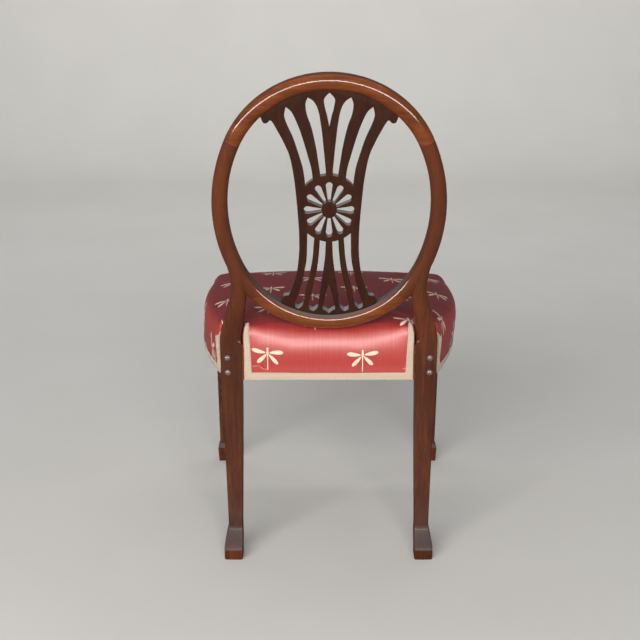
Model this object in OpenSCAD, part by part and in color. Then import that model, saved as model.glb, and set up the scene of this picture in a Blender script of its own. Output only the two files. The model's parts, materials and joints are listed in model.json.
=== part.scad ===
// Oval back side chair with a pierced wheel splat and a stuffed, fabric covered seat.
// The chair stands on the floor at z = 0, its front faces -Y and its left side is +X.
// The modules work in a frame whose y = 0 is the back of the rear feet, and the last lines
// move everything to the middle of the chair's depth.

/* [Back] */
// Width of the oval back over its outer edges
oval_w = 433; // [405:1:455]
// Height of the oval back, measured along its slope
oval_h = 502; // [485:1:540]
// Width of the oval's rail seen from behind
rail_w = 29; // [25:1:33]
// Thickness of the oval's rail from back to front
rail_t = 24; // [22:1:28]
// How far the rounded rear face stands above the rail's edges
rail_crown = 8; // [5:1:9]
// Slope of the back, in degrees from upright
rake = 10; // [7:1:13]
// Height of the oval's lowest point above the top of the seat rails
oval_lift = 33; // [31:1:45]
// Thickness of the pierced splat
splat_t = 12; // [10:1:13]
// Depth of the splat's rear face below the edges of the rail's rounded face
splat_lip = 1; // [0.5:0.5:2]
// How deep the splat is housed in the oval's rail
housing = 5; // [3:1:7]
// Number of petals in the wheel
petals = 12; // [8:2:14]
// Width of each pierced petal at its round end
petal_w = 13; // [9:0.5:14]
// How far the petals' centre lies below the oval's centre
wheel_low = 4.4; // [2:0.2:5]
// Diameter of the dowels that join the oval's rails
dowel_d = 8; // [6:1:10]
// Length of the dowels that join the oval's rails
dowel_l = 40; // [30:1:46]

/* [Rear legs] */
// Width over the rear legs at the seat
back_span = 424; // [410:1:440]
// Width of a rear leg at the seat
rear_leg_w = 42; // [40:1:46]
// Depth of a rear leg at the seat
rear_leg_d = 40; // [38:1:44]
// How far the back of the foot stands behind the back of the leg
leg_kick = 64; // [45:1:75]
// Width over the rear feet
foot_span = 417; // [405:1:425]
// Width of a rear foot
foot_w = 36; // [32:1:40]
// Depth of a rear foot
foot_d = 38; // [34:1:42]
// Height of the upright end face of a rear foot
foot_h = 25; // [18:1:30]
// Width of a rear leg at the ankle
ankle_w = 28; // [25:1:31]
// Depth of a rear leg at the ankle
ankle_d = 29; // [26:1:32]
// Height at which the rear foot's flare ends
ankle_z = 66; // [55:1:80]
// Width of a rear leg at the waist above the seat
waist_w = 28; // [26:0.5:30]

/* [Front legs] */
// Width over the front legs
front_span = 517; // [500:1:530]
// Width and depth of a front leg at the seat
front_leg_w = 42; // [38:1:46]
// Width and depth of a front leg above its spade foot
front_ankle_w = 28; // [25:1:32]
// Width and depth of the spade foot
spade_w = 38; // [35:1:42]
// Height of the spade foot
spade_h = 44; // [36:1:52]
// Radius on the outer corner of the front posts beside the rails
post_r = 14; // [8:1:18]

/* [Seat frame] */
// Height of the lower edge of the seat rails above the floor
rail_z = 362; // [330:1:390]
// Height of the seat rails
rail_h = 72; // [66:1:80]
// Thickness of the seat rails
seat_rail_t = 25; // [23:1:28]
// Depth from the back of the rear legs to the front of the front legs
frame_d = 442; // [420:1:460]
// How far each side rail bows outwards
side_bow = 24; // [14:1:28]
// How far the front rail bows forwards
front_bow = 22; // [12:1:28]
// How far the rear rail stands in from the back of the rear legs
rear_rail_set = 4; // [3:1:6]
// Thickness of the rails' tenons
tenon_t = 10; // [8:1:11]
// Length of the rails' tenons
tenon_l = 20; // [14:1:20]
// Shoulder above and below each tenon
tenon_shoulder = 10; // [6:1:12]
// Height of the corner blocks
block_h = 36; // [28:1:44]
// Reach of the corner blocks along the rails
block_reach = 46; // [42:1:52]

/* [Fasteners] */
// Diameter of the domed plugs on the rear legs
plug_d = 12.5; // [11:0.5:14]
// Length of each plug inside the leg
plug_l = 8; // [6:1:10]
// Height of each plug's dome
plug_dome = 3; // [2:0.5:4]
// Distance between the two plugs on a leg
plug_pitch = 30; // [26:1:34]
// Distance of the plugs from the leg's outer face
plug_in = 14; // [12.5:0.5:14.5]
// Diameter of the long screws under the plugs
screw_d = 5; // [4:0.5:6]
// Length of the long screws
screw_l = 44; // [36:1:45]
// Diameter of the corner block screws
block_screw_d = 4; // [3.5:0.5:5]
// Length of the corner block screws
block_screw_l = 22; // [18:1:24]
// Diameter of the heads of the tacks under the seat
tack_head_d = 9; // [7:1:11]
// Length of the tacks' shanks
tack_l = 10; // [8:1:12]
// Number of tacks along each rail
tack_count = 5; // [3:1:7]

/* [Upholstery] */
// Height of the seat's edge above the rails
seat_rise = 30; // [27:1:30]
// Rise of the seat's middle above its edge
seat_crown = 23; // [10:1:35]
// How much higher the seat's rear corners stand, beside the legs
rear_lift = 12; // [8:1:18]
// How far in from the rails the top starts to roll over
seat_roll = 26; // [16:1:30]
// How far the stuffed sides bulge beyond the rails
side_bulge = 11; // [7:0.5:13]
// How far the cover stands off the rails at its lower edge
skirt_out = 3; // [2.5:0.5:4]
// Thickness of the cover
cover_t = 1.6; // [1.2:0.1:2]
// Width of the braid
gimp_w = 14; // [10:1:16]
// Thickness of the braid
gimp_t = 1.8; // [1.2:0.1:2.4]
// Width of each webbing strip
web_w = 50; // [40:1:55]
// Thickness of one layer of webbing
web_t = 2; // [1.5:0.1:2.5]
// Thickness of the hessian
hessian_t = 1; // [0.6:0.1:1.5]
// Thickness of the dust cover
dust_t = 0.8; // [0.6:0.1:1.2]

/* [Hidden] */
// Smoothness of round faces
$fn = 120;
// Overrun of every cut
over = 1;
// Clearance round screws, dowels and tacks
fit = 0.1;
// Gap between soft pieces and their neighbours
soft_gap = 0.3;

// Levels of the seat
rail_top = rail_z + rail_h;
hessian_z = rail_top + 2 * web_t;
stuff_z = hessian_z + hessian_t + soft_gap;
edge_z = rail_top + seat_rise;

// The oval is drawn with four arcs: two side arcs and two end arcs. The slimmer measure of
// the oval sets the tight arcs, and the flat ones join them without a corner
half_w = oval_w / 2;
half_h = oval_h / 2;
tight_share = 0.956;
tight_half = min(half_w, half_h);
tight_r = tight_share * tight_half;
flat_r = (pow(half_w, 2) + pow(half_h, 2) - 2 * max(half_w, half_h) * tight_r)
    / (2 * (tight_half - tight_r));
end_r = half_h > half_w ? tight_r : flat_r;
side_r = half_h > half_w ? flat_r : tight_r;
end_off = half_h - end_r;
side_off = side_r - half_w;
meet_deg = atan(end_off / side_off);
splat_set = rail_crown + splat_lip;
// Radius of an arc over a chord, and of the rail's rounded rear face
function arc_radius(chord, rise) = (pow(chord / 2, 2) + pow(rise, 2)) / (2 * rise);
crown_r = arc_radius(rail_w, rail_crown);

// Height at which the rear leg leans back, near the top of the rail
bend_z = rail_top + rail_h / 20;
// Place of the oval's middle: its lowest point stands over the rear legs' backs
oval_z = rail_top + oval_lift + half_h * cos(rake);
oval_y = leg_kick - (rail_top + oval_lift - bend_z) * tan(rake) - half_h * sin(rake);

// Faces of the legs, as distances forward of the rear feet's backs
leg_front = leg_kick + rear_leg_d;
front_face = leg_kick + frame_d;
post_back = front_face - front_leg_w;
leg_in = back_span / 2 - rear_leg_w;
post_out = front_span / 2;
post_in = post_out - front_leg_w;
rear_rail_face = leg_kick + rear_rail_set;

// Arcs of the bowed rails
side_a = [back_span / 2, leg_front];
side_b = [post_out, post_back];
side_chord = norm(side_b - side_a);
side_dir = (side_b - side_a) / side_chord;
side_nrm = [side_dir[1], -side_dir[0]];
side_rr = arc_radius(side_chord, side_bow);
side_cc = (side_a + side_b) / 2 + side_nrm * (side_bow - side_rr);
front_rr = arc_radius(2 * post_in, front_bow);
front_cc = [0, front_face + front_bow - front_rr];
side_a_deg = atan2(side_a[1] - side_cc[1], side_a[0] - side_cc[0]);
side_b_deg = atan2(side_b[1] - side_cc[1], side_b[0] - side_cc[0]);
front_a_deg = atan2(front_face - front_cc[1], post_in);

// The deepest points of the chair set where its middle lies
back_reach = (half_h - rail_w / 2) * sin(rake) + crown_r * (1 - cos(rake)) - oval_y;
front_reach = front_face + front_bow + side_bulge;
mid_y = (front_reach - back_reach) / 2;

// A share of the way from a to b
function mix(a, b, t) = a + (b - a) * t;
// The same, easing in and out
function ease(a, b, t) = mix(a, b, t * t * (3 - 2 * t));
function clamp01(t) = min(1, max(0, t));
// A smooth line through chosen points
function blend(a, b, c, d, t) =
    0.5 * (2 * b + (c - a) * t + (2 * a - 5 * b + 4 * c - d) * t * t
           + (3 * b - a - 3 * c + d) * t * t * t);
function smooth(p, steps = 4) =
    [for (i = [0 : len(p) - 2]) for (s = [0 : steps - 1])
        blend(p[max(i - 1, 0)], p[i], p[i + 1], p[min(i + 2, len(p) - 1)], s / steps),
     p[len(p) - 1]];
function flip(p) = [for (i = [len(p) - 1 : -1 : 0]) p[i]];
// A closed line without the points that repeat the next one
function distinct(p) = [for (i = [0 : len(p) - 1]) if (p[i] != p[(i + 1) % len(p)]) p[i]];
function mirrored(p) = [for (q = p) [-q[0], q[1]]];

// Colours
wood = [0.30, 0.10, 0.04];
block_wood = [0.62, 0.45, 0.28];
satin = [0.62, 0.12, 0.13];
cream = [0.86, 0.80, 0.66];
jute = [0.60, 0.48, 0.32];
steel = [0.55, 0.55, 0.56];

// Turns plan places (x, distance forward) into the working frame
module plan(h, z = 0) translate([0, 0, z]) mirror([0, 1, 0]) linear_extrude(h) children();
// Stands a flat drawing up in the sloping plane of the back, rear face at local z = 0
module in_back() translate([0, -oval_y, oval_z]) rotate([90 - rake, 0, 0]) children();
// A cylinder that runs forward from a distance, at x and height z
module rod_forward(x, from, to, z, d)
    translate([x, -from, z]) rotate([90, 0, 0]) cylinder(d = d, h = to - from);
// A cylinder that runs towards +x
module rod_across(from, to, y, z, d)
    translate([from, -y, z]) rotate([0, 90, 0]) cylinder(d = d, h = to - from);

// Section of the oval's rail, inner edge at x = 0 and rear face at y = 0. A slim section is
// that much smaller all round
module rail_section(slim) {
    w = rail_w - 2 * slim;
    r = arc_radius(w, rail_crown - slim);
    translate([slim, slim]) intersection() {
        square([w, rail_t - 2 * slim]);
        union() {
            translate([w / 2, r]) circle(r = r);
            translate([-over, r]) square([w + 2 * over, rail_t]);
        }
    }
}
module rail_arc(r, from, to, slim = 0)
    rotate([0, 0, from]) rotate_extrude(angle = to - from) translate([r - rail_w, 0])
        rail_section(slim);

// Dowels across the four joints of the oval
module oval_dowel(deg, up, extra = 0)
    in_back() translate([0, up * end_off, 0]) rotate([0, 0, deg])
        translate([end_r - rail_w / 2, 0, (rail_t + rail_crown) / 2])
            rotate([90, 0, 0])
                cylinder(d = dowel_d + extra, h = dowel_l + extra, center = true);
module oval_dowels(extra = 0) {
    oval_dowel(meet_deg, 1, extra);
    oval_dowel(180 - meet_deg, 1, extra);
    oval_dowel(-lower_deg, -1, extra);
    oval_dowel(lower_deg - 180, -1, extra);
}

// Splat outlines, each point a share of the oval's half width and half height
edge_shares = [[0.620, 1.000], [0.620, 0.800], [0.566, 0.690], [0.546, 0.648], [0.514, 0.643],
               [0.480, 0.662], [0.430, 0.590], [0.378, 0.500], [0.330, 0.395], [0.298, 0.240], [0.282, 0.110],
               [0.266, -0.070], [0.257, -0.240], [0.262, -0.400], [0.284, -0.550],
               [0.322, -0.655], [0.352, -0.712], [0.386, -0.718], [0.410, -0.745],
               [0.440, -0.860], [0.440, -1.000]];
slot_a_out_shares = [[0.357, 0.761], [0.372, 0.690], [0.352, 0.625], [0.302, 0.525],
                     [0.261, 0.412], [0.223, 0.296], [0.206, 0.190], [0.200, 0.100]];
slot_a_in_shares = [[0.357, 0.761], [0.308, 0.722], [0.258, 0.625], [0.220, 0.526],
                    [0.174, 0.383], [0.150, 0.300], [0.138, 0.215], [0.134, 0.180]];
slot_b_out_shares = [[0.177, 0.830], [0.196, 0.778], [0.186, 0.695], [0.150, 0.604],
                     [0.112, 0.455], [0.088, 0.318], [0.076, 0.245], [0.074, 0.200]];
slot_b_in_shares = [[0.177, 0.830], [0.128, 0.800], [0.092, 0.736], [0.069, 0.625],
                    [0.054, 0.512], [0.039, 0.376], [0.029, 0.270], [0.028, 0.200]];
slot_c_shares = [[0.000, 0.864], [0.044, 0.818], [0.038, 0.750], [0.018, 0.681], [0.000, 0.604]];
low_a_out_shares = [[0.176, -0.160], [0.187, -0.215], [0.190, -0.320], [0.195, -0.420],
                    [0.216, -0.520], [0.243, -0.628], [0.280, -0.737], [0.304, -0.805],
                    [0.268, -0.832]];
low_a_in_shares = [[0.126, -0.200], [0.127, -0.245], [0.135, -0.335], [0.143, -0.420],
                   [0.159, -0.505], [0.178, -0.592], [0.206, -0.686], [0.224, -0.785],
                   [0.268, -0.832]];
low_b_out_shares = [[0.076, -0.220], [0.080, -0.270], [0.084, -0.335], [0.102, -0.484],
                    [0.129, -0.592], [0.161, -0.723], [0.180, -0.822], [0.138, -0.852]];
low_b_in_shares = [[0.028, -0.220], [0.029, -0.270], [0.034, -0.405], [0.053, -0.548],
                   [0.069, -0.649], [0.085, -0.737], [0.094, -0.812], [0.138, -0.852]];
low_c_shares = [[0.000, -0.620], [0.024, -0.686], [0.039, -0.760], [0.058, -0.826],
                [0.031, -0.845], [0.000, -0.870]];
// Half sizes of the wheel: its rim and the petals' reach
rim_shares = [0.275, 0.262];
// The rim lies this share as low as the petals
rim_low_share = 0.5;
petal_shares = [0.217, 0.217];
function sized(p) = [for (q = p) [q[0] * half_w, q[1] * half_h]];
function loop(out, in) = distinct(concat(smooth(sized(out)), flip(smooth(sized(in)))));
function oval_points(shares, n = 60) =
    [for (i = [0 : n - 1]) [shares[0] * half_w * cos(i * 360 / n),
                            shares[1] * half_h * sin(i * 360 / n)]];
// One petal: narrow at the hub, wide and round at the rim
petal_start_share = 0.30;
petal_tip_share = 0.42;
function petal_line(n = 8) =
    [for (i = [0 : n])
        let (a = -90 + i * 180 / n, r = petal_w / 2)
        [petal_shares[0] * half_w - r + r * cos(a), r * sin(a)]];
// Petals are stretched with the oval by moving each point of the outline
function petal_points(deg) =
    let (k = petal_shares[1] * half_h / (petal_shares[0] * half_w),
         s = petal_start_share * petal_shares[0] * half_w,
         w = petal_w * petal_tip_share / 2,
         line = concat([[s, -w]], petal_line(), [[s, w]]))
    [for (p = line) [p[0] * cos(deg) - p[1] * sin(deg),
                     k * (p[0] * sin(deg) + p[1] * cos(deg))]];
module splat_outline() {
    edge = smooth(sized(edge_shares));
    polygon(concat(edge, flip(mirrored(edge))));
}
module both_sides() {
    children();
    mirror([1, 0]) children();
}
module splat_slots() {
    both_sides() {
        polygon(loop(slot_a_out_shares, slot_a_in_shares));
        polygon(loop(slot_b_out_shares, slot_b_in_shares));
        polygon(loop(low_a_out_shares, low_a_in_shares));
        polygon(loop(low_b_out_shares, low_b_in_shares));
    }
    upper = smooth(sized(slot_c_shares));
    polygon(distinct(concat(upper, flip(mirrored(upper)))));
    lower = smooth(sized(low_c_shares));
    polygon(distinct(concat(lower, flip(mirrored(lower)))));
}
// The oval opening of the back, grown by the depth of the housing
module housing_shape() {
    r = end_r - rail_w + housing;
    intersection() {
        translate([0, end_off]) circle(r = r);
        translate([-half_w, 0]) square([oval_w, half_h]);
    }
    intersection() {
        translate([0, -end_off]) circle(r = r);
        translate([-half_w, -half_h]) square([oval_w, half_h]);
    }
}
module splat_plate() difference() {
    intersection() {
        splat_outline();
        housing_shape();
    }
    // the slots stop at the wheel's rim
    difference() {
        splat_slots();
        translate([0, -wheel_low * rim_low_share]) polygon(oval_points(rim_shares));
    }
    translate([0, -wheel_low])
        for (i = [0 : petals - 1]) polygon(petal_points(i * 360 / petals));
}
module splat_blank(extra = 0)
    in_back() translate([0, 0, splat_set - extra]) linear_extrude(splat_t + 2 * extra)
        intersection() {
            splat_outline();
            housing_shape();
        }

module crest_rail() color(wood) difference() {
    in_back() translate([0, end_off, 0]) rail_arc(end_r, meet_deg, 180 - meet_deg);
    splat_blank();
    oval_dowels(fit);
}
module lower_back_rail() color(wood) difference() {
    in_back() translate([0, -end_off, 0]) rail_arc(end_r, lower_deg - 180, -lower_deg);
    splat_blank();
    oval_dowels(fit);
}
module back_splat() color(wood)
    in_back() translate([0, 0, splat_set]) linear_extrude(splat_t) splat_plate();
module back_dowels() color(block_wood) oval_dowels();

// Rear leg seen from behind: outer and inner edges by height
waist_share = 0.755;
head_top_share = 0.93;
swell_share = 0.08;
// The leg's head reaches this high up the oval's side arc
head_top_z = oval_z - side_r * sin(meet_deg) * head_top_share * cos(rake);
waist_z = mix(rail_top, head_top_z, waist_share);
swell_z = rail_top + rail_h * swell_share;
waist_x = oval_out_x(head_top_z) - rail_h * swell_share;
crotch_x = waist_x - waist_w;
// The oval's outer edge meets the leg's inner edge at this angle below the end arc's centre,
// and the lower rail starts a little further round
crotch_deg = acos(crotch_x / end_r);
joint_deg = 4;
lower_deg = crotch_deg + joint_deg;
// The leg's head lies this far under the faces of the oval's rail
head_set = 1;
// Outer edge of the oval at a height
function back_v(z) = (z - oval_z) / cos(rake);
function oval_out_x(z) =
    let (v = back_v(z), side_end = side_r * sin(meet_deg))
    abs(v) < side_end ? sqrt(pow(side_r, 2) - v * v) - side_off
                      : sqrt(pow(end_r, 2) - pow(abs(v) - end_off, 2));
function leg_out_x(z) =
    z < foot_h ? foot_span / 2
    : z < ankle_z ? ease(foot_span / 2, ankle_out_x, (z - foot_h) / (ankle_z - foot_h))
    : z < rail_z ? mix(ankle_out_x, back_span / 2, (z - ankle_z) / (rail_z - ankle_z))
    : z < swell_z ? back_span / 2
    : z < waist_z ? ease(back_span / 2, waist_x, (z - swell_z) / (waist_z - swell_z))
    : mix(waist_x, oval_out_x(head_top_z) - head_set,
          pow((z - waist_z) / (head_top_z - waist_z), 2));
flare_out_share = 0.88;
ankle_out_x = foot_span / 2 - (foot_w - ankle_w) * flare_out_share;
crotch_z = oval_z - (end_off + end_r * sin(crotch_deg)) * cos(rake);
function leg_in_x(z) =
    z < foot_h ? foot_span / 2 - foot_w
    : z < ankle_z ? ease(foot_span / 2 - foot_w, ankle_out_x - ankle_w,
                         (z - foot_h) / (ankle_z - foot_h))
    : z < rail_z ? mix(ankle_out_x - ankle_w, leg_in, (z - ankle_z) / (rail_z - ankle_z))
    : z < swell_z ? leg_in
    : ease(leg_in, crotch_x, clamp01((z - swell_z) / (crotch_z - swell_z)));
// Even steps from a towards b, without b itself
function steps(a, b, n) = [for (i = [0 : n - 1]) mix(a, b, i / n)];
leg_low_z = concat([0], steps(foot_h, ankle_z, 6), [ankle_z, rail_z]);
// The leg's head ends inside the oval's rail, on the rail's middle line
module leg_front_shape() {
    out_z = concat(leg_low_z, steps(swell_z, waist_z, 12), steps(waist_z, head_top_z, 5),
                   [head_top_z]);
    in_z = concat(leg_low_z, steps(swell_z, crotch_z, 10), [crotch_z]);
    mid_r = end_r - rail_w / 2;
    head = [[oval_out_x(head_top_z) - rail_w / 2, head_top_z],
            [mid_r * cos(crotch_deg), oval_z - (end_off + mid_r * sin(crotch_deg)) * cos(rake)]];
    polygon(concat([for (z = out_z) [leg_out_x(z), z]], head,
                   [for (z = flip(in_z)) [leg_in_x(z), z]]));
}
// Rear leg seen from the side: distances forward of the feet's backs
calf_share = 0.48;
calf_rise = leg_kick * calf_share;
function head_share(z) = ease(0, 1, clamp01((z - swell_z) / (crotch_z - swell_z)));
// The head sinks from the rail's rear face to the edge of its rounding
function head_in(z) = head_set * head_share(z)
    + ease(0, rail_crown - head_set, clamp01((z - crotch_z) / (head_top_z - crotch_z)));
function leg_back(z) = leg_back_line(z) + head_in(z);
function leg_back_line(z) =
    z <= foot_h ? 0
    : z < ankle_z ? calf_rise * (1 - pow(1 - (z - foot_h) / (ankle_z - foot_h), 2))
    : z < rail_z ? leg_kick - (leg_kick - calf_rise)
                   * pow((rail_z - z) / (rail_z - ankle_z), 2)
    : z < bend_z - lean_run ? leg_kick
    : z < bend_z + lean_run ? leg_kick - tan(rake) * pow(z - bend_z + lean_run, 2) / (4 * lean_run)
    : leg_kick - (z - bend_z) * tan(rake);
lean_share = 0.4;
lean_run = rail_h * lean_share;
function leg_depth(z) =
    z <= foot_h ? foot_d
    : z < ankle_z ? ease(foot_d, ankle_d, (z - foot_h) / (ankle_z - foot_h))
    : z < rail_z ? mix(ankle_d, rear_leg_d, pow((z - ankle_z) / (rail_z - ankle_z), 0.8))
    : z < swell_z ? rear_leg_d
    : mix(rear_leg_d, rail_t / cos(rake) - head_set, head_share(z)) - head_in(z);
module leg_side_shape() {
    zs = concat([0], steps(foot_h, ankle_z, 7), steps(ankle_z, rail_z, 10),
                steps(rail_z, head_top_z, 22), [head_top_z]);
    polygon(concat([for (z = zs) [leg_back(z), z]],
                   flip([for (z = zs) [leg_back(z) + leg_depth(z), z]])));
}
module leg_solid() intersection() {
    rotate([90, 0, 0]) linear_extrude(2 * (leg_front + over), center = true) leg_front_shape();
    mirror([0, 1, 0]) rotate([90, 0, 90]) linear_extrude(back_span) leg_side_shape();
}
// The stile's lower arc starts inside the side arc, and is a hair slimmer
module stile() in_back() {
    translate([-side_off, 0, 0]) rail_arc(side_r, -meet_deg, meet_deg);
    translate([0, -end_off, 0]) rail_arc(end_r, -lower_deg, -meet_deg + fit, fit);
}

// Plug and screw places on a rear leg
plug_x = back_span / 2 - plug_in;
plug_share = 0.43;
plug_zs = [for (s = [-1, 1]) rail_z + rail_h * plug_share + s * plug_pitch / 2];
head_l = plug_l / 2;
screw_from = leg_kick + plug_l + fit;
module plug_holes() for (z = plug_zs) {
    rod_forward(plug_x, leg_kick - over, screw_from + head_l, z, plug_d);
    rod_forward(plug_x, screw_from, screw_from + head_l + screw_l + fit, z, screw_d + 2 * fit);
}

// Tenons of the rails, which also cut the mortises. Each starts a little inside its own rail
tenon_z = rail_z + tenon_shoulder;
tenon_h = rail_h - 2 * tenon_shoulder;
module tenon(x, y, dx, dy) translate([x, -y - dy, tenon_z]) cube([dx, dy, tenon_h]);
rear_tenon_x = plug_x - tenon_t / 2;
module side_rear_tenon() tenon(rear_tenon_x, leg_front - tenon_l, tenon_t, tenon_l + over);
post_tenon_x = post_out - (seat_rail_t + tenon_t) / 2;
module side_front_tenon() tenon(post_tenon_x, post_back - over, tenon_t, tenon_l + over);
rear_tenon_l = rear_tenon_x - leg_in - over;
module rear_rail_tenon()
    tenon(leg_in - over, rear_rail_face + (seat_rail_t - tenon_t) / 2,
          min(tenon_l, rear_tenon_l) + over, tenon_t);
front_tenon_l = min(tenon_l, post_tenon_x - post_in - over);
module front_rail_tenon()
    tenon(post_in - over, front_face - (seat_rail_t + tenon_t) / 2, front_tenon_l + over,
          tenon_t);

module rear_leg() color(wood) difference() {
    union() {
        leg_solid();
        stile();
    }
    plug_holes();
    side_rear_tenon();
    rear_rail_tenon();
    oval_dowels(fit);
}
module rear_leg_left() rear_leg();
module rear_leg_right() mirror([1, 0, 0]) rear_leg();

// Front leg: square taper on a spade foot
ankle_set = (spade_w - front_ankle_w) / 2;
spade_neck_share = 0.22;
spade_foot_share = 0.90;
leg_lean_share = 0.2;
// Outline of one view, from the outer face inwards
module taper_shape() {
    out_low = (front_leg_w - front_ankle_w) * leg_lean_share;
    neck = spade_h * spade_neck_share;
    slim = spade_w * (1 - spade_foot_share) / 2;
    polygon([[-out_low + ankle_set - slim, 0],
             [-out_low + ankle_set, spade_h - neck],
             [-out_low, spade_h],
             [0, rail_z], [0, rail_top],
             [-front_leg_w, rail_top], [-front_leg_w, rail_z],
             [-out_low - front_ankle_w, spade_h],
             [-out_low - front_ankle_w - ankle_set, spade_h - neck],
             [-out_low - front_ankle_w - ankle_set + slim, 0]]);
}
module front_leg() color(wood) difference() {
    intersection() {
        translate([post_out, 0, 0]) rotate([90, 0, 0])
            linear_extrude(2 * (front_face + spade_w), center = true) taper_shape();
        translate([0, -front_face, 0]) mirror([0, 1, 0]) rotate([90, 0, 90])
            linear_extrude(2 * post_out) taper_shape();
    }
    // round outer corner beside the rails
    plan(rail_h + over, rail_z) difference() {
        translate([post_out - post_r, front_face - post_r]) square(post_r + over);
        translate([post_out - post_r, front_face - post_r]) circle(r = post_r);
    }
    side_front_tenon();
    front_rail_tenon();
}
module front_leg_left() front_leg();
module front_leg_right() mirror([1, 0, 0]) front_leg();

// Corner block screws: one runs into each rail, heads sunk in the block
block_z = rail_z + (rail_h - block_h) / 2;
block_screw_z = block_z + block_h / 2;
block_wall = block_screw_l / 3;
head_d = 2 * block_screw_d;
function side_in_x(y) = side_cc[0] + sqrt(pow(side_rr - seat_rail_t, 2) - pow(y - side_cc[1], 2));
function front_in_y(x) = front_cc[1] + sqrt(pow(front_rr - seat_rail_t, 2) - x * x);
rear_rail_in = rear_rail_face + seat_rail_t;
rear_screw_x = leg_in - block_reach / 2;
side_screw_share = 0.6;
rear_screw_y = leg_front + block_reach * side_screw_share;
front_screw_x = post_in - block_reach / 2;
front_screw_y = post_back - block_reach * side_screw_share;
module block_screw_shape(extra, bore) {
    // into the rear rail
    rod_forward(rear_screw_x, rear_rail_in + block_wall - block_screw_l - extra,
                rear_rail_in + block_wall, block_screw_z, block_screw_d + 2 * extra);
    rod_forward(rear_screw_x, rear_rail_in + block_wall,
                rear_rail_in + block_wall + block_screw_d / 2 + bore, block_screw_z,
                head_d + 2 * extra);
    // into the side rail, from the rear block and from the front block
    for (y = [rear_screw_y, front_screw_y]) {
        head_x = side_in_x(y) - block_wall;
        rod_across(head_x, head_x + block_screw_l + extra, y, block_screw_z,
                   block_screw_d + 2 * extra);
        rod_across(head_x - block_screw_d / 2 - bore, head_x, y, block_screw_z,
                   head_d + 2 * extra);
    }
    // into the front rail
    head_y = front_in_y(front_screw_x) - block_wall;
    rod_forward(front_screw_x, head_y, head_y + block_screw_l + extra, block_screw_z,
                block_screw_d + 2 * extra);
    rod_forward(front_screw_x, head_y - block_screw_d / 2 - bore, head_y, block_screw_z,
                head_d + 2 * extra);
}
module both() {
    children();
    mirror([1, 0, 0]) children();
}

// Tacks under the seat, along the middle of each rail
tack_t = dust_t;
tack_d = tack_head_d / 5;
function along(a, b) = [for (i = [0 : tack_count - 1]) mix(a, b, (i + 0.5) / tack_count)];
tack_rim_share = 0.12;
side_tacks = [for (d = along(mix(side_a_deg, side_b_deg, tack_rim_share),
                             mix(side_b_deg, side_a_deg, tack_rim_share)))
    side_cc + (side_rr - seat_rail_t / 2) * [cos(d), sin(d)]];
front_tacks = [for (d = along(front_a_deg + tack_head_d / front_rr, 180 - front_a_deg))
    front_cc + (front_rr - seat_rail_t / 2) * [cos(d), sin(d)]];
rear_tacks = [for (x = along(-leg_in, leg_in)) [x, rear_rail_face + seat_rail_t / 2]];
tack_places = concat(side_tacks, mirrored(side_tacks), front_tacks, rear_tacks);
module tack_shanks(extra = 0) for (p = tack_places)
    translate([p[0], -p[1], rail_z - dust_t - extra]) cylinder(d = tack_d + 2 * extra,
                                                              h = dust_t + tack_l + 2 * extra);

module side_rail() color(block_wood) difference() {
    union() {
        plan(rail_h, rail_z) intersection() {
            difference() {
                translate(side_cc) circle(r = side_rr, $fn = 360);
                translate(side_cc) circle(r = side_rr - seat_rail_t, $fn = 360);
            }
            translate([0, leg_front]) square([side_rr, post_back - leg_front]);
        }
        side_rear_tenon();
        side_front_tenon();
    }
    plug_holes();
    block_screw_shape(fit, 0);
    tack_shanks(fit);
}
module side_rail_left() side_rail();
module side_rail_right() mirror([1, 0, 0]) side_rail();
module front_rail() color(block_wood) difference() {
    union() {
        plan(rail_h, rail_z) intersection() {
            difference() {
                translate(front_cc) circle(r = front_rr, $fn = 360);
                translate(front_cc) circle(r = front_rr - seat_rail_t, $fn = 360);
            }
            translate([-post_in, 0]) square([2 * post_in, front_rr]);
        }
        both() front_rail_tenon();
    }
    both() block_screw_shape(fit, 0);
    tack_shanks(fit);
}
module rear_rail() color(block_wood) difference() {
    union() {
        translate([-leg_in, -rear_rail_in, rail_z]) cube([2 * leg_in, seat_rail_t, rail_h]);
        both() rear_rail_tenon();
    }
    both() block_screw_shape(fit, 0);
    tack_shanks(fit);
}

// Corner blocks fill the angles between the rails, round the legs' inner corners
module block_cut() {
    // what the rails and the legs already fill
    plan(block_h + 2 * over, block_z - over) {
        difference() {
            translate(side_cc) circle(r = side_rr + over, $fn = 360);
            translate(side_cc) circle(r = side_rr - seat_rail_t, $fn = 360);
        }
        difference() {
            translate(front_cc) circle(r = front_rr + over, $fn = 360);
            translate(front_cc) circle(r = front_rr - seat_rail_t, $fn = 360);
        }
        translate([post_in, post_back]) square([front_leg_w, front_leg_w]);
        translate([leg_in, leg_kick]) square([rear_leg_w, rear_leg_d]);
    }
}
module rear_block() difference() {
    plan(block_h, block_z)
        polygon([[leg_in - block_reach, rear_rail_in], [back_span / 2, rear_rail_in],
                 [back_span / 2, leg_front + block_reach],
                 [side_in_x(leg_front + block_reach) - over, leg_front + block_reach]]);
    block_cut();
    block_screw_shape(fit, block_reach);
}
module front_block() difference() {
    plan(block_h, block_z)
        polygon([[post_in - block_reach, front_face], [post_out, front_face],
                 [post_out, post_back - block_reach],
                 [side_in_x(post_back - block_reach) - over, post_back - block_reach],
                 [post_in - block_reach, front_in_y(post_in - block_reach) - over]]);
    block_cut();
    block_screw_shape(fit, block_reach);
}
module front_corner_blocks() color(block_wood) both() front_block();
module rear_corner_blocks() color(block_wood) both() rear_block();
module block_screws() color(steel) both() block_screw_shape(0, 0);

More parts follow.
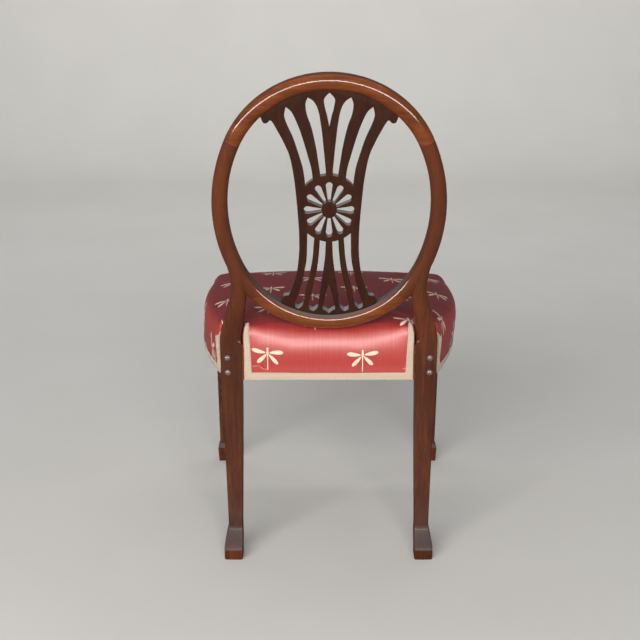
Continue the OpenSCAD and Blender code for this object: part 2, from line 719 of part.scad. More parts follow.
module rail_screws() color(steel) both() for (z = plug_zs) {
    rod_forward(plug_x, screw_from, screw_from + head_l, z, plug_d - 2 * fit);
    rod_forward(plug_x, screw_from + head_l, screw_from + head_l + screw_l, z, screw_d);
}
module rail_plugs() color(wood) both() for (z = plug_zs) {
    rod_forward(plug_x, leg_kick, leg_kick + plug_l, z, plug_d - 2 * fit);
    // dome, a slice of a ball
    dome_r = (pow(plug_d / 2, 2) + pow(plug_dome, 2)) / (2 * plug_dome);
    intersection() {
        translate([plug_x, -leg_kick - dome_r + plug_dome, z]) sphere(r = dome_r);
        rod_forward(plug_x, leg_kick - plug_dome, leg_kick, z, plug_d);
    }
}

// Webbing strips, doubled over where they are tacked to the rails
strip_shares = [-0.62, 0, 0.62];
fold = seat_rail_t - 2 * over;
module webbing_lengthwise() color(jute) for (s = strip_shares) {
    x = s * (leg_in - web_w / 2);
    y0 = rear_rail_face + over;
    y1 = front_in_y(abs(x) + web_w / 2) + fold;
    translate([x - web_w / 2, -y1, rail_top]) cube([web_w, y1 - y0, web_t]);
    for (y = [y0, y1 - fold])
        translate([x - web_w / 2, -y - fold, rail_top]) cube([web_w, fold, 2 * web_t]);
}
cross_shares = [0.22, 0.50, 0.78];
module webbing_crosswise() color(jute) for (s = cross_shares) {
    y = mix(leg_front, post_back, s);
    x = min(side_in_x(y - web_w / 2), side_in_x(y + web_w / 2)) + fold / 2;
    translate([-x, -y - web_w / 2, rail_top + web_t]) cube([2 * x, web_w, web_t]);
    for (k = [-x, x - fold / 2])
        translate([k, -y - web_w / 2, rail_top]) cube([fold / 2, web_w, web_t]);
}

// The seat's outline. Each place holds x, distance forward, the outward direction, the
// direction into the seat, how much it rolls in, how much it bulges, whether the cover runs
// down to the rail's foot there (1) or stops over the hessian beside a leg (0), and how far
// the rail's face lies behind it
rear_bulge_share = 0.4;
// The cover lies this far off the rear rail's face where it turns over the edge
rear_off = cover_t + soft_gap + fit;
rear_base = rear_rail_face - rear_off;
edge_x = leg_in - soft_gap;
notch_y = leg_front + soft_gap;
rear_xs = [for (s = [0, 0.18, 0.36, 0.54, 0.70, 0.86, 1]) s * (edge_x - gimp_w)];
rear_roll_shares = [1, 1, 1, 1, 1, 0.85, 0.6];
rear_places = [for (i = [0 : len(rear_xs) - 1])
    [rear_xs[i], rear_base, 0, -1, 0, 1, rear_roll_shares[i], rear_bulge_share, 1, rear_off]];
notch_places = [
    [edge_x, rear_base, 0, -1, -1, 1, 0, rear_bulge_share, 1, rear_off],
    [edge_x, rear_rail_face - fit, 1, 0, -1, 0, 0, 0, 0, 0],
    [edge_x, notch_y, 0, 0, -1, 1, 0, 0, 0, 0],
    [mix(edge_x, back_span / 2, 0.5), notch_y, 0, -1, 0, 1, 0, 0, 0, 0],
    [back_span / 2 + fit / 2, notch_y, 0, -1, -1, 1, 0, 0, 0, 0]];
side_steps = 9;
gimp_deg = gimp_w / side_rr * 180 / PI;
side_degs = concat([side_a_deg + soft_gap / side_rr * 180 / PI, side_a_deg + gimp_deg],
                   [for (i = [1 : side_steps]) mix(side_a_deg + gimp_deg, side_b_deg, i / side_steps)]);
side_roll_shares = [0, 0.35, 0.75];
side_places = [for (i = [0 : len(side_degs) - 1])
    let (d = side_degs[i], n = [cos(d), sin(d)], p = side_cc + side_rr * n)
    i == 0 ? [back_span / 2 + fit, notch_y, 1, 0, -1, 1, 0, 1, 1, 0]
           : [p[0], p[1], n[0], n[1], -n[0], -n[1], i < 3 ? side_roll_shares[i] : 1, 1, 1, 0]];
corner_places = [for (d = [0, 30, 60, 90])
    [post_out - post_r + post_r * cos(d), front_face - post_r + post_r * sin(d),
     cos(d), sin(d), -cos(d), -sin(d), 1, 1, 1, 0]];
front_steps = 5;
front_places = [for (i = [1 : front_steps])
    let (d = mix(front_a_deg, 90, i / front_steps), n = [cos(d), sin(d)],
         p = front_cc + front_rr * n)
    [p[0], p[1], n[0], n[1], -n[0], -n[1], 1, 1, 1, 0]];
half_places = concat(rear_places, notch_places, side_places, corner_places, front_places);
function other_side(p) = [-p[0], p[1], -p[2], p[3], -p[4], p[5], p[6], p[7], p[8], p[9]];
function round_trip(h) = concat(h, [for (i = [len(h) - 2 : -1 : 1]) other_side(h[i])]);
places = round_trip(half_places);
// The same outline for flat sheets, without the doubled places beside the legs
sheet_places = round_trip(concat(rear_places, [notch_places[0], notch_places[2]],
                                 side_places, corner_places, front_places));
function sheet_line(inset) =
    [for (p = sheet_places) [p[0] + p[4] * inset, p[1] + p[5] * inset]];
count = len(places);
seat_mid = [0, (rear_rail_face + front_face) / 2];

// Height of the cut edges beside the legs over the hessian
tuck = 2 * over;
// Height of the bulge, and levels below it down to the braid and the rails' foot
bulge_share = 0.57;
bulge_z = rail_z + (edge_z - rail_z) * bulge_share;
braid_z = rail_z + gimp_w;
function side_out(z) =
    skirt_out + (side_bulge - skirt_out) * (1 - pow((bulge_z - z) / (bulge_z - rail_z), 2));
// The edge stands higher at the rear, most beside the legs, and least under the oval
lift_share = 0.35;
lift_mid_share = 0.55;
lift_from_share = 0.3;
lift_full_share = 0.7;
function lift(p) = rear_lift
    * ease(lift_mid_share, 1, clamp01((abs(p[0]) / edge_x - lift_from_share)
                                      / (lift_full_share - lift_from_share)))
    * ease(1, 0, clamp01((p[1] - rear_base) / (frame_d * lift_share)));
// The top is nearly flat in its middle and falls away faster towards its edge
crown_power = 3.4;
// Beside a rear leg the cover keeps clear of the leg, which leans in as it rises
function clear_of_leg(p, q, thin) =
    p[1] > notch_y || abs(p[0]) > edge_x ? q
    : [sign(q[0]) * min(abs(q[0]), leg_in_x(q[2]) - soft_gap - thin), q[1], q[2]];
// One point of the seat's surface. A level is ["top", share of the way out],
// ["roll", degrees] or ["side", height]; thin is how far it lies under the cover's face
function seat_point(p, level, thin) = clear_of_leg(p, free_point(p, level, thin), thin);
function free_point(p, level, thin) =
    let (kind = level[0], v = level[1], top = edge_z + lift(p) - thin,
         base = [p[0], p[1]], n = [p[2], p[3]], m = [p[4], p[5]],
         foot = p[8] == 1 ? rail_z : stuff_z + tuck,
         roll = p[6] * seat_roll)
    kind == "top" ?
        let (e = mix(seat_mid, base - n * roll, v))
        [e[0], -e[1], mix(edge_z + seat_crown - thin, top, pow(v, crown_power))]
    : kind == "roll" ?
        let (o = p[7] * side_bulge * sin(v) - roll * (1 - sin(v)),
             e = base + n * o + m * thin * (p[6] == 0 ? 1 : sin(v)),
             z = bulge_z + (edge_z - bulge_z) * cos(v) - thin * cos(v))
        [e[0], -e[1], mix(top, foot, (edge_z - thin - z) / (edge_z - thin - rail_z))]
    : let (e = base + n * p[7] * side_out(v) + m * thin)
        [e[0], -e[1], mix(top, foot, (edge_z - thin - v) / (edge_z - thin - rail_z))];
function ring(level, thin) = [for (p = places) seat_point(p, level, thin)];
outer_levels = concat([for (v = [0.28, 0.52, 0.76]) ["top", v]],
                      [for (a = [0 : 18 : 90]) ["roll", a]],
                      [["side", mix(bulge_z, braid_z, 0.5)], ["side", braid_z], ["side", rail_z]]);
inner_levels = concat([for (v = [0.5]) ["top", v]], [for (a = [0, 45, 90]) ["roll", a]],
                      [["side", braid_z], ["side", rail_z]]);
// Triangles between two rings of points that start at a and b
function band(a, b) = [for (i = [0 : count - 1]) let (j = (i + 1) % count)
    each [[a + i, a + j, b + j], [a + i, b + j, b + i]]];
function fan(apex, a) = [for (i = [0 : count - 1]) [apex, a + (i + 1) % count, a + i]];
function back_to_front(f) = [for (t = f) [t[0], t[2], t[1]]];

// Cover: an outer and an inner skin joined along the lower edge
module seat_cover() color(satin) {
    outer = [for (l = outer_levels) each ring(l, 0)];
    inner = [for (l = inner_levels) each ring(l, cover_t)];
    tips = [[seat_mid[0], -seat_mid[1], edge_z + seat_crown],
            [seat_mid[0], -seat_mid[1], edge_z + seat_crown - cover_t]];
    no = len(outer_levels);
    ni = len(inner_levels);
    start = no * count;
    tip = (no + ni) * count;
    faces = concat(
        back_to_front(fan(tip, 0)),
        [for (k = [0 : no - 2]) each back_to_front(band(k * count, (k + 1) * count))],
        back_to_front(band((no - 1) * count, start + (ni - 1) * count)),
        [for (k = [0 : ni - 2]) each band(start + k * count, start + (k + 1) * count)],
        fan(tip + 1, start));
    polyhedron(concat(outer, inner, tips), faces);
}

// Stuffing: the space under the cover, over the hessian and down the rails' faces
pad_thin = cover_t + soft_gap;
function pad_foot(p, z_low, z_tuck) =
    let (k = p[8] == 1 ? [p[2], p[3]] * (soft_gap - p[9]) + [p[2] + p[4], p[3] + p[5]] * pad_thin
                       : [p[4], p[5]] * pad_thin)
    [p[0] + k[0], -p[1] - k[1], p[8] == 1 ? z_low : z_tuck];
module seat_stuffing() color(cream) {
    pad_levels = [for (l = inner_levels) if (l != ["side", rail_z]) l];
    rings = concat([for (l = pad_levels) ring(l, pad_thin)],
                   [[for (p = places) pad_foot(p, braid_z, stuff_z + tuck / 2)],
                    [for (p = places) pad_foot(p, stuff_z, stuff_z)]]);
    n = len(rings);
    tip = n * count;
    faces = concat(back_to_front(fan(tip, 0)),
                   [for (k = [0 : n - 2]) each back_to_front(band(k * count, (k + 1) * count))],
                   fan(tip + 1, (n - 1) * count));
    polyhedron(concat([for (r = rings) each r],
                      [[seat_mid[0], -seat_mid[1], edge_z + seat_crown - pad_thin],
                       [seat_mid[0], -seat_mid[1], stuff_z]]), faces);
}
inset = rail_h / 9;
module seat_hessian() color(jute)
    plan(hessian_t, hessian_z)
        polygon(sheet_line(inset));
module dust_cover() color([0.12, 0.12, 0.12])
    plan(dust_t, rail_z - dust_t) difference() {
        polygon(sheet_line(inset / 2));
        both_sides() {
            translate([post_in - soft_gap, post_back - soft_gap]) square(front_leg_w + inset);
            translate([leg_in - soft_gap, 0]) square([rear_leg_w + inset, leg_front + 2 * soft_gap]);
        }
        for (p = tack_places) translate(p) circle(d = tack_d + 2 * fit);
    }
module dust_cover_tacks() color(steel) {
    tack_shanks();
    for (p = tack_places)
        translate([p[0], -p[1], rail_z - dust_t - tack_t]) cylinder(d = tack_head_d, h = tack_t);
}

// Braid: slabs that lie on the cover's face, over a run of places and levels
braid_levels = [for (l = outer_levels) if (l[0] != "top") l];
function braid_point(p, level, out) =
    let (q = seat_point(p, level, 0))
    [q[0] + p[2] * out, q[1] - p[3] * out, q[2]];
module braid(run, from, to) {
    m = len(run);
    n = to - from + 1;
    skin = function (out) [for (k = [from : to]) each
        [for (i = run) braid_point(places[i], braid_levels[k], out)]];
    near = skin(soft_gap);
    far = skin(soft_gap + gimp_t);
    o = m * n;
    faces = concat(
        [for (k = [0 : n - 2]) for (i = [0 : m - 2]) let (a = k * m + i)
            each [[a, a + m + 1, a + 1], [a, a + m, a + m + 1],
                  [o + a, o + a + 1, o + a + m + 1], [o + a, o + a + m + 1, o + a + m]]],
        [for (i = [0 : m - 2]) let (a = i, b = (n - 1) * m + i)
            each [[a, a + 1, o + a + 1], [a, o + a + 1, o + a],
                  [b, o + b + 1, b + 1], [b, o + b, o + b + 1]]],
        [for (k = [0 : n - 2]) let (a = k * m, b = k * m + m - 1)
            each [[a, o + a, o + a + m], [a, o + a + m, a + m],
                  [b, o + b + m, o + b], [b, b + m, o + b + m]]]);
    polyhedron(concat(near, far), faces);
}
last_level = len(braid_levels) - 1;
n_rear = len(rear_places);
side_start = n_rear + len(notch_places);
// Up both sides of the rear panel and along its lower edge
module rear_braid() color(cream) {
    bottom = [for (i = [-n_rear : n_rear]) (i + count) % count];
    braid(bottom, last_level - 1, last_level);
    both() braid([n_rear - 1, n_rear], 1, last_level - 1);
}
// Round the seat's lower edge from leg to leg, and up the rear end of each side
module side_braid() color(cream) {
    braid([for (i = [side_start : count - side_start]) i], last_level - 1, last_level);
    both() braid([side_start, side_start + 1], 4, last_level - 1);
}

// Everything is drawn about the middle of the chair's depth
module stand() translate([0, mid_y, 0]) children();
stand() crest_rail();
stand() lower_back_rail();
stand() back_splat();
stand() back_dowels();
stand() rear_leg_left();
stand() rear_leg_right();
stand() front_leg_left();
stand() front_leg_right();
stand() front_rail();
stand() side_rail_left();
stand() side_rail_right();
stand() rear_rail();
stand() front_corner_blocks();
stand() rear_corner_blocks();
stand() block_screws();
stand() rail_screws();
stand() rail_plugs();
stand() webbing_lengthwise();
stand() webbing_crosswise();
stand() seat_hessian();
stand() seat_stuffing();
stand() seat_cover();
stand() rear_braid();
stand() side_braid();
stand() dust_cover();
stand() dust_cover_tacks();
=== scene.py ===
# %% [markdown]
# An oval back side chair, dressed over its exact solids. Every piece made here lies in the same
# place as the solid that it stands for, in metres, with the floor at z = 0, the chair's front
# towards -Y and its left side towards +X.

# %% Load the frame
import json
from itertools import accumulate
from math import acos, atan, atan2, copysign, cos, degrees, hypot, pi, radians, sin, sqrt, tan

import bmesh
import bpy
from mathutils import Matrix, Vector
from mathutils.bvhtree import BVHTree
from mathutils.geometry import barycentric_transform

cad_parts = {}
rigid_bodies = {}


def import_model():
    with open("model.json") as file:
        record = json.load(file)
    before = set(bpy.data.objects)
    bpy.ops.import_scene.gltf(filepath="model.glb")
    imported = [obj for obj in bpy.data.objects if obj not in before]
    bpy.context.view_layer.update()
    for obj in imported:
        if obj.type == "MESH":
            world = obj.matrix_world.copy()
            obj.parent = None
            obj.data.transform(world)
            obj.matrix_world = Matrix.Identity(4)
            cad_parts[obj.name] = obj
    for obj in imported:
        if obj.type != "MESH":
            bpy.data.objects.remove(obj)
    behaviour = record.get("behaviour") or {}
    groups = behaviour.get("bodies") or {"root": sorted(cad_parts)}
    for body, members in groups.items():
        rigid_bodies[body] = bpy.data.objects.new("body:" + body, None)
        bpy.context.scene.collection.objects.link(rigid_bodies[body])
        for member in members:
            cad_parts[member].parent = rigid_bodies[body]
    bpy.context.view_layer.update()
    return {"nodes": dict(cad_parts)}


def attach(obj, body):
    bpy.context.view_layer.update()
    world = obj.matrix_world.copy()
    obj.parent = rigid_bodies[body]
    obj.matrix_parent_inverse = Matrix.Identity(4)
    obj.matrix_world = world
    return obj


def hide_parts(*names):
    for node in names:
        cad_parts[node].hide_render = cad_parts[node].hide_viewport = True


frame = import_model()
nodes = frame["nodes"]

# %% [markdown]
# The camera stands behind the chair, a little above it, and looks slightly down. Its height,
# distance and lens come from fitting the chair's own outline.

# %% Camera
FOCAL, PICTURE, SENSOR = 1150, 640, 36.0
LOOKS_DOWN = 17.8625


def linked(name, data):
    """A new object in the scene."""
    obj = bpy.data.objects.new(name, data)
    bpy.context.scene.collection.objects.link(obj)
    return obj


camera_data = bpy.data.cameras.new("camera")
camera_data.sensor_width = SENSOR
camera_data.lens = FOCAL / PICTURE * SENSOR
camera_data.shift_x = -1.5 / PICTURE
camera = linked("camera", camera_data)
camera.location = (0.0141, 2.3088, 1.1683)
camera.rotation_euler = (radians(90 - LOOKS_DOWN), 0, radians(180))
bpy.context.scene.camera = camera
print("lens", round(camera_data.lens, 1))

# %% [markdown]
# The main sizes of the back. Depths are measured forwards from the back of the rear feet, which
# stand at HEEL_Y. The oval is drawn by four arcs that lie in a plane leaning back by ten
# degrees. A matrix takes a drawing of the oval, with its rear face at depth 0, to its place.

# %% Sizes of the back
HEEL_Y = 0.256451
RAKE = radians(10)
HALF_W, HALF_H = 0.2165, 0.251
RAIL_W, RAIL_T, CROWN = 0.029, 0.024, 0.008
END_R = 0.956 * HALF_W
SIDE_R = (HALF_W**2 + HALF_H**2 - 2 * HALF_H * END_R) / (2 * (HALF_W - END_R))
END_OFF, SIDE_OFF = HALF_H - END_R, SIDE_R - HALF_W
MEET = atan(END_OFF / SIDE_OFF)
RAIL_Z, RAIL_TOP, RAIL_H = 0.362, 0.434, 0.072
KICK = 0.064
BEND_Z = RAIL_TOP + 0.0036
OVAL_FOOT = 0.033
OVAL_Z = RAIL_TOP + OVAL_FOOT + HALF_H * cos(RAKE)
OVAL_Y = KICK - (RAIL_TOP + OVAL_FOOT - BEND_Z) * tan(RAKE) - HALF_H * sin(RAKE)
BACK = Matrix.Translation((0, HEEL_Y - OVAL_Y, OVAL_Z)) @ Matrix.Rotation(radians(80), 4, "X")
print("oval", round(END_R, 4), round(SIDE_R, 4), round(degrees(MEET), 2), round(OVAL_Z, 4))

# %% [markdown]
# Small helpers. One turns a bmesh into a piece of the chair with its finish. One wraps a grid
# round any shape, so that legs, braid and cloth all start from the same operator. One copies a
# solid and rounds its arrises, as sandpaper does.

# %% Helpers for pieces
def mesh_of(name, bm):
    mesh = bpy.data.meshes.new(name)
    bm.to_mesh(mesh)
    bm.free()
    return mesh


def bmesh_of(mesh):
    bm = bmesh.new()
    bm.from_mesh(mesh)
    return bm


def piece(name, bm, finish, stands_for, angle=32):
    mesh = mesh_of(name, bm)
    mesh.materials.append(finish)
    mesh.polygons.foreach_set("use_smooth", [True] * len(mesh.polygons))
    mesh.set_sharp_from_angle(angle=radians(angle))
    obj = linked(name, mesh)
    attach(obj, "root")
    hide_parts(stands_for)
    return obj


def thicken(obj, thickness, offset=0):
    sheet = obj.modifiers.new("thickness", "SOLIDIFY")
    sheet.thickness, sheet.offset = thickness, offset


def wrapped_grid(nu, nv, place, ends=False, uv=None):
    """A grid of nu by nv faces, each point moved by place(i, j)."""
    bm = bmesh.new()
    layer = bm.loops.layers.uv.new("cloth")
    bmesh.ops.create_grid(bm, x_segments=nu, y_segments=nv, size=0.5, calc_uvs=True)
    for v in bm.verts:
        v.co = place(round((v.co.x + 0.5) * nu), round((v.co.y + 0.5) * nv))
    if uv:
        for face in bm.faces:
            for loop in face.loops:
                q = loop[layer].uv
                loop[layer].uv = uv(q.x * nu, q.y * nv)
    bmesh.ops.remove_doubles(bm, verts=bm.verts, dist=1e-6)
    if ends:
        rim = [e for e in bm.edges if e.is_boundary]
        bmesh.ops.holes_fill(bm, edges=rim, sides=0)
        bmesh.ops.recalc_face_normals(bm, faces=bm.faces)
    return bm


def softened(node, width, segments, sharper, moved=None):
    """A copy of a solid with its edges rounded over."""
    bm = bmesh_of(nodes[node].data)
    bmesh.ops.remove_doubles(bm, verts=bm.verts, dist=2e-6)
    bmesh.ops.dissolve_limit(bm, angle_limit=radians(0.6), verts=bm.verts, edges=bm.edges,
                             use_dissolve_boundaries=False)
    if moved:
        moved(bm)
    edges = [e for e in bm.edges if e.is_manifold and e.calc_face_angle(0) > radians(sharper)]
    worn = bm.verts.layers.float.new("worn")
    done = bmesh.ops.bevel(bm, geom=edges, offset=width, offset_type="OFFSET",
                           segments=segments, profile=0.5, affect="EDGES", material=-1,
                           clamp_overlap=True)
    for v in {v for f in done["faces"] for v in f.verts}:
        v[worn] = 1.0
    return bm


# %% Helpers for numbers
def mix(a, b, t):
    return a + (b - a) * t


def clamp(t):
    return min(1.0, max(0.0, t))


def ease(a, b, t):
    t = clamp(t)
    return mix(a, b, t * t * (3 - 2 * t))


def share(z, low, high):
    """How far z has come from low to high."""
    return (z - low) / (high - low)


# %% [markdown]
# Finishes are written as sums. The class Value wraps one output of a shader node, so that
# adding or multiplying values adds the Math nodes by itself, and Finish.node adds any other
# node from its type, its settings and its sockets.

# %% Writing shaders as sums
class Value:
    def __init__(self, finish, out):
        self.finish, self.out = finish, out

    def math(self, kind, *others):
        return self.finish.node("ShaderNodeMath", {"operation": kind},
                                {i: v for i, v in enumerate((self,) + others)})

    def __add__(self, o): return self.math("ADD", o)
    def __sub__(self, o): return self.math("SUBTRACT", o)
    def __rsub__(self, o): return self.finish.value(o).math("SUBTRACT", self)
    def __mul__(self, o): return self.math("MULTIPLY", o)
    def __truediv__(self, o): return self.math("DIVIDE", o)
    __radd__, __rmul__ = __add__, __mul__


class Finish:
    def __init__(self, name):
        self.made = bpy.data.materials.new(name)
        self.made.use_nodes = True
        self.tree = self.made.node_tree
        self.shader = self.tree.nodes["Principled BSDF"]

    def node(self, kind, settings=None, sockets=None, out=0):
        n = self.tree.nodes.new(kind)
        for key, v in (settings or {}).items():
            if key == "stops":
                ramp = n.color_ramp.elements
                while len(ramp) < len(v):
                    ramp.new(0.5)
                for stop, (at, colour) in zip(ramp, v):
                    stop.position, stop.color = at, (*colour, 1)
            else:
                setattr(n, key, v)
        for key, v in (sockets or {}).items():
            self.set(n.inputs[key], v)
        return Value(self, n.outputs[out])

    def set(self, socket, v):
        if isinstance(v, Value):
            self.tree.links.new(v.out, socket)
        elif socket.type == "RGBA":
            socket.default_value = (*v, 1)
        else:
            socket.default_value = v

    def feed(self, **sockets):
        for key, v in sockets.items():
            self.set(self.shader.inputs[key.replace("_", " ")], v)

    def value(self, number):
        return self.node("ShaderNodeMath", {"operation": "ADD"}, {0: number, 1: 0.0})

    def blend(self, share, a, b):
        return self.node("ShaderNodeMix", {"data_type": "RGBA"}, {0: share, 6: a, 7: b}, out=2)

    def noise(self, at, scale, detail=3.0, rough=0.5):
        return self.node("ShaderNodeTexNoise", {}, {"Vector": at, "Scale": scale,
                                                    "Detail": detail, "Roughness": rough})

    def ramp(self, share, *stops):
        return self.node("ShaderNodeValToRGB", {"stops": stops}, {"Fac": share})

    def span(self, v, low, high):
        return self.node("ShaderNodeMapRange", {"clamp": True, "interpolation_type": "SMOOTHSTEP"},
                         {"Value": v, "From Min": low, "From Max": high})

    def stretched(self, at, scale):
        return self.node("ShaderNodeVectorMath", {"operation": "MULTIPLY"}, {0: at, 1: scale})

    def grain(self, at, along, squeeze):
        """The place, squeezed along one axis so that a noise is drawn out along it."""
        return self.stretched(at, [squeeze if axis == along else 1 for axis in "xyz"])

    def parts(self, at):
        n = self.tree.nodes.new("ShaderNodeSeparateXYZ")
        self.tree.links.new(at.out, n.inputs[0])
        return [Value(self, n.outputs[i]) for i in range(3)]

    def objects(self):
        return self.node("ShaderNodeTexCoord", out="Object")

    def cloth(self):
        return self.node("ShaderNodeUVMap", {"uv_map": "cloth"})

    def level(self):
        """1 on a face that looks straight up, 0 on an upright one."""
        return self.parts(self.node("ShaderNodeNewGeometry", out="Normal"))[2]

    def bump(self, height, distance, strength=1.0):
        self.feed(Normal=self.node("ShaderNodeBump", {}, {"Height": height, "Strength": strength,
                                                          "Distance": distance}))


# %% [markdown]
# Mahogany under old polish: the colour runs from near black brown to orange brown in long
# streaks, with short dark pores along the grain, and the arrises are rubbed a little paler.
# The polish is a clear coat over a duller wood. The grain follows the long way of each piece.
# Upward faces are painted grey, a painted reflection of the sky in the polish, most of all on
# the slopes of the feet, whose polish is also scuffed thin.

# %% Mahogany
def mahogany(name, along, dark, mid, light, cloudy=0.2, polish=0.8, higher=0.0,
             dust=(0.115, 0.118, 0.125), reflection_top=0.62, rub=0.18):
    f = Finish(name)
    at = f.objects()
    q = f.grain(at, along, 0.05)
    broad = f.noise(q, 38, 2, 0.5)
    streak = f.noise(q, 210, 5, 0.6)
    cloud = f.noise(at, 9, 2, 0.5)
    pore = f.span(f.noise(f.grain(at, along, 0.03), 1500, 2, 0.5), 0.34, 0.42)
    tone = broad * 0.42 + streak * (0.58 - cloudy) + cloud * cloudy
    colour = f.ramp(tone, (0.36, dark), (0.50, mid), (0.66, light))
    colour = f.blend((1 - pore) * 0.45, colour, tuple(0.25 * c for c in dark))
    worn = f.node("ShaderNodeAttribute", {"attribute_name": "worn"}, out="Fac")
    rubbed = worn * f.span(f.noise(at, 60, 3), 0.40, 0.62) * rub
    colour = f.blend(rubbed, colour, (0.26, 0.09, 0.035))
    tall = f.parts(at)[2]
    if higher:
        colour = f.blend(f.span(tall, 0.36, 0.62) * higher, colour, light)
    # the painted grey reflection is left off above this height
    level = f.level()
    lies = f.span(level, 0.28, 0.70) * (1 - f.span(tall, reflection_top - 0.04, reflection_top))
    # near the floor the polish is scuffed thin, and the painted grey reflection spreads over the
    # feet's gentler slopes
    low_wear_and_reflection = 1 - f.span(tall, 0.06, 0.15)
    lies = lies * (1 - low_wear_and_reflection) + f.span(level, 0.06, 0.50) * low_wear_and_reflection * 0.6
    # upward faces take the painted grey reflection of the sky
    colour = f.blend(lies * (0.55 + cloud * 0.5), colour, dust)
    f.feed(Base_Color=colour, Roughness=0.42 + f.noise(at, 34, 3) * 0.14)
    thin = 1 - f.span(f.noise(at, 21, 4), 0.5, 0.75) * 0.3
    f.feed(Coat_Weight=(1 - lies * 0.6) * (1 - low_wear_and_reflection * 0.9) * thin * polish)
    f.feed(Coat_Roughness=0.10, Specular_IOR_Level=0.08)
    f.bump(pore * 0.5 + streak * 0.5, 0.00010, 0.4)
    return f.made


# Three ramps, each with its grain along its pieces. Their tones differ partly as the wood does and
# partly as painted light and shade: the rails across the oval lightest, the uprights darker, the
# recessed splat darkest.
wood_long = mahogany("mahogany_upright", "z", (0.050, 0.013, 0.005), (0.088, 0.023, 0.008),
                     (0.155, 0.038, 0.010), higher=0.40)
wood_cross = mahogany("mahogany_across", "x", (0.095, 0.022, 0.005), (0.190, 0.046, 0.009),
                      (0.270, 0.070, 0.014))
wood_splat = mahogany("mahogany_splat", "z", (0.028, 0.008, 0.003), (0.040, 0.011, 0.0035),
                      (0.058, 0.015, 0.0045), 0.08, 0.6, dust=(0.30, 0.285, 0.30),
                      reflection_top=0.90, rub=0.0)
print("mahogany finishes made")


# %% Beech
def beech(name, along):
    dark, light = (0.36, 0.22, 0.11), (0.55, 0.38, 0.21)
    f = Finish(name)
    q = f.grain(f.objects(), along, 0.05)
    lines = f.noise(q, 120, 4, 0.6)
    fleck = f.span(f.noise(q, 900, 2), 0.58, 0.66)
    colour = f.blend(f.span(lines, 0.35, 0.65), dark, light)
    colour = f.blend(fleck * 0.4, colour, tuple(0.5 * c for c in dark))
    f.feed(Base_Color=colour, Roughness=0.62 + lines * 0.2)
    f.bump(lines, 0.0002, 0.4)
    return f.made


rail_wood = beech("beech_rails", "x")
side_wood = beech("beech_side_rails", "y")
print("beech finishes made")

# %% [markdown]
# The satin. Each point of the cloth carries its place on the flat cloth, in metres, so the
# dragonfly sprig can be drawn there by sums: two pairs of leaf shaped wings, a round head and a
# thin tail, repeated in a half drop. Fine ribs run up the cloth; their lighter and darker streaks
# are partly the cloth's own slubs and partly a painted streaky sheen. The level top is painted
# darker, a painted shade for the way satin looks dark where the light runs along its floating
# threads.

# %% Satin with its sprig
COLUMN, ROW, DROP = 0.09285, 0.1335, 0.075
SPRIG = (0.0266, 0.093)


def satin_cloth():
    f = Finish("red_satin")
    at = f.cloth()
    u, v, _ = f.parts(at)
    col = ((u - SPRIG[0]) / COLUMN).math("ROUND")
    x = (u - SPRIG[0]) - col * COLUMN
    odd = (col * 0.5).math("FRACT").math("ABSOLUTE") * 2
    y = (v - SPRIG[1]) + odd * DROP
    y = y - (y / ROW).math("ROUND") * ROW
    away = x.math("ABSOLUTE")

    def leaf(cx, cy, half, wide, turn, taper):
        dx, dy = away - cx, y - cy
        a = dx * cos(turn) + dy * sin(turn)
        b = dy * cos(turn) - dx * sin(turn)
        w = (a * (taper / half) + 1.0) * wide
        return 1.0 - (a * a) * (1 / half**2) - (b * b) / (w * w)

    upper = leaf(0.0170, 0.0022, 0.0138, 0.0040, radians(5), 0.35)
    lower = leaf(0.0113, -0.0122, 0.0136, 0.0036, radians(-49), 0.35)
    head = 1.0 - (x * x + (y - 0.0092) * (y - 0.0092)) * (1 / 0.0022**2)
    body = 1.0 - (x * x) * (1 / 0.0021**2) - (y - 0.002) * (y - 0.002) * (1 / 0.0075**2)
    tail = 1.0 - (x * x) * (1 / 0.00095**2) - ((y + 0.016) * (1 / 0.0187)).math("POWER", 8.0)
    best = upper.math("MAXIMUM", lower).math("MAXIMUM", head).math("MAXIMUM", body)
    sprig = f.span(best.math("MAXIMUM", tail), -0.02, 0.10)
    rib = f.noise(f.stretched(at, (1, 0.012, 1)), 520, 3, 0.6)
    thread = f.noise(f.stretched(at, (1, 0.05, 1)), 2600, 1, 0.5)
    # the rib streaks are partly the cloth's own slubs and partly a painted streaky sheen
    red = f.ramp(rib * 0.7 + thread * 0.3, (0.34, (0.400, 0.034, 0.028)),
                 (0.50, (0.480, 0.046, 0.036)), (0.68, (0.560, 0.068, 0.054)))
    # painted shade: the level top is darkened for the way light runs along the satin's floating
    # threads
    red = f.blend(f.span(f.level(), 0.28, 0.95) * 0.68, red, (0.165, 0.010, 0.012))
    cream = f.blend(thread, (0.74, 0.56, 0.38), (0.90, 0.76, 0.58))
    f.feed(Base_Color=f.blend(sprig, red, cream), Roughness=0.33 + sprig * 0.30 + rib * 0.05)
    f.feed(Sheen_Weight=0.06, Sheen_Roughness=0.35, Sheen_Tint=(1.0, 0.45, 0.45),
           Specular_IOR_Level=0.62)
    f.bump(rib * 0.6 + thread * 0.3 + sprig * 0.5, 0.00025, 0.5)
    return f.made


satin = satin_cloth()
print("satin made")

# %% [markdown]
# The other soft stuffs: cream braid with a nubbly zigzag of doubled threads, jute in a plain
# weave, black calico under the seat, and pale hair and wadding inside it.

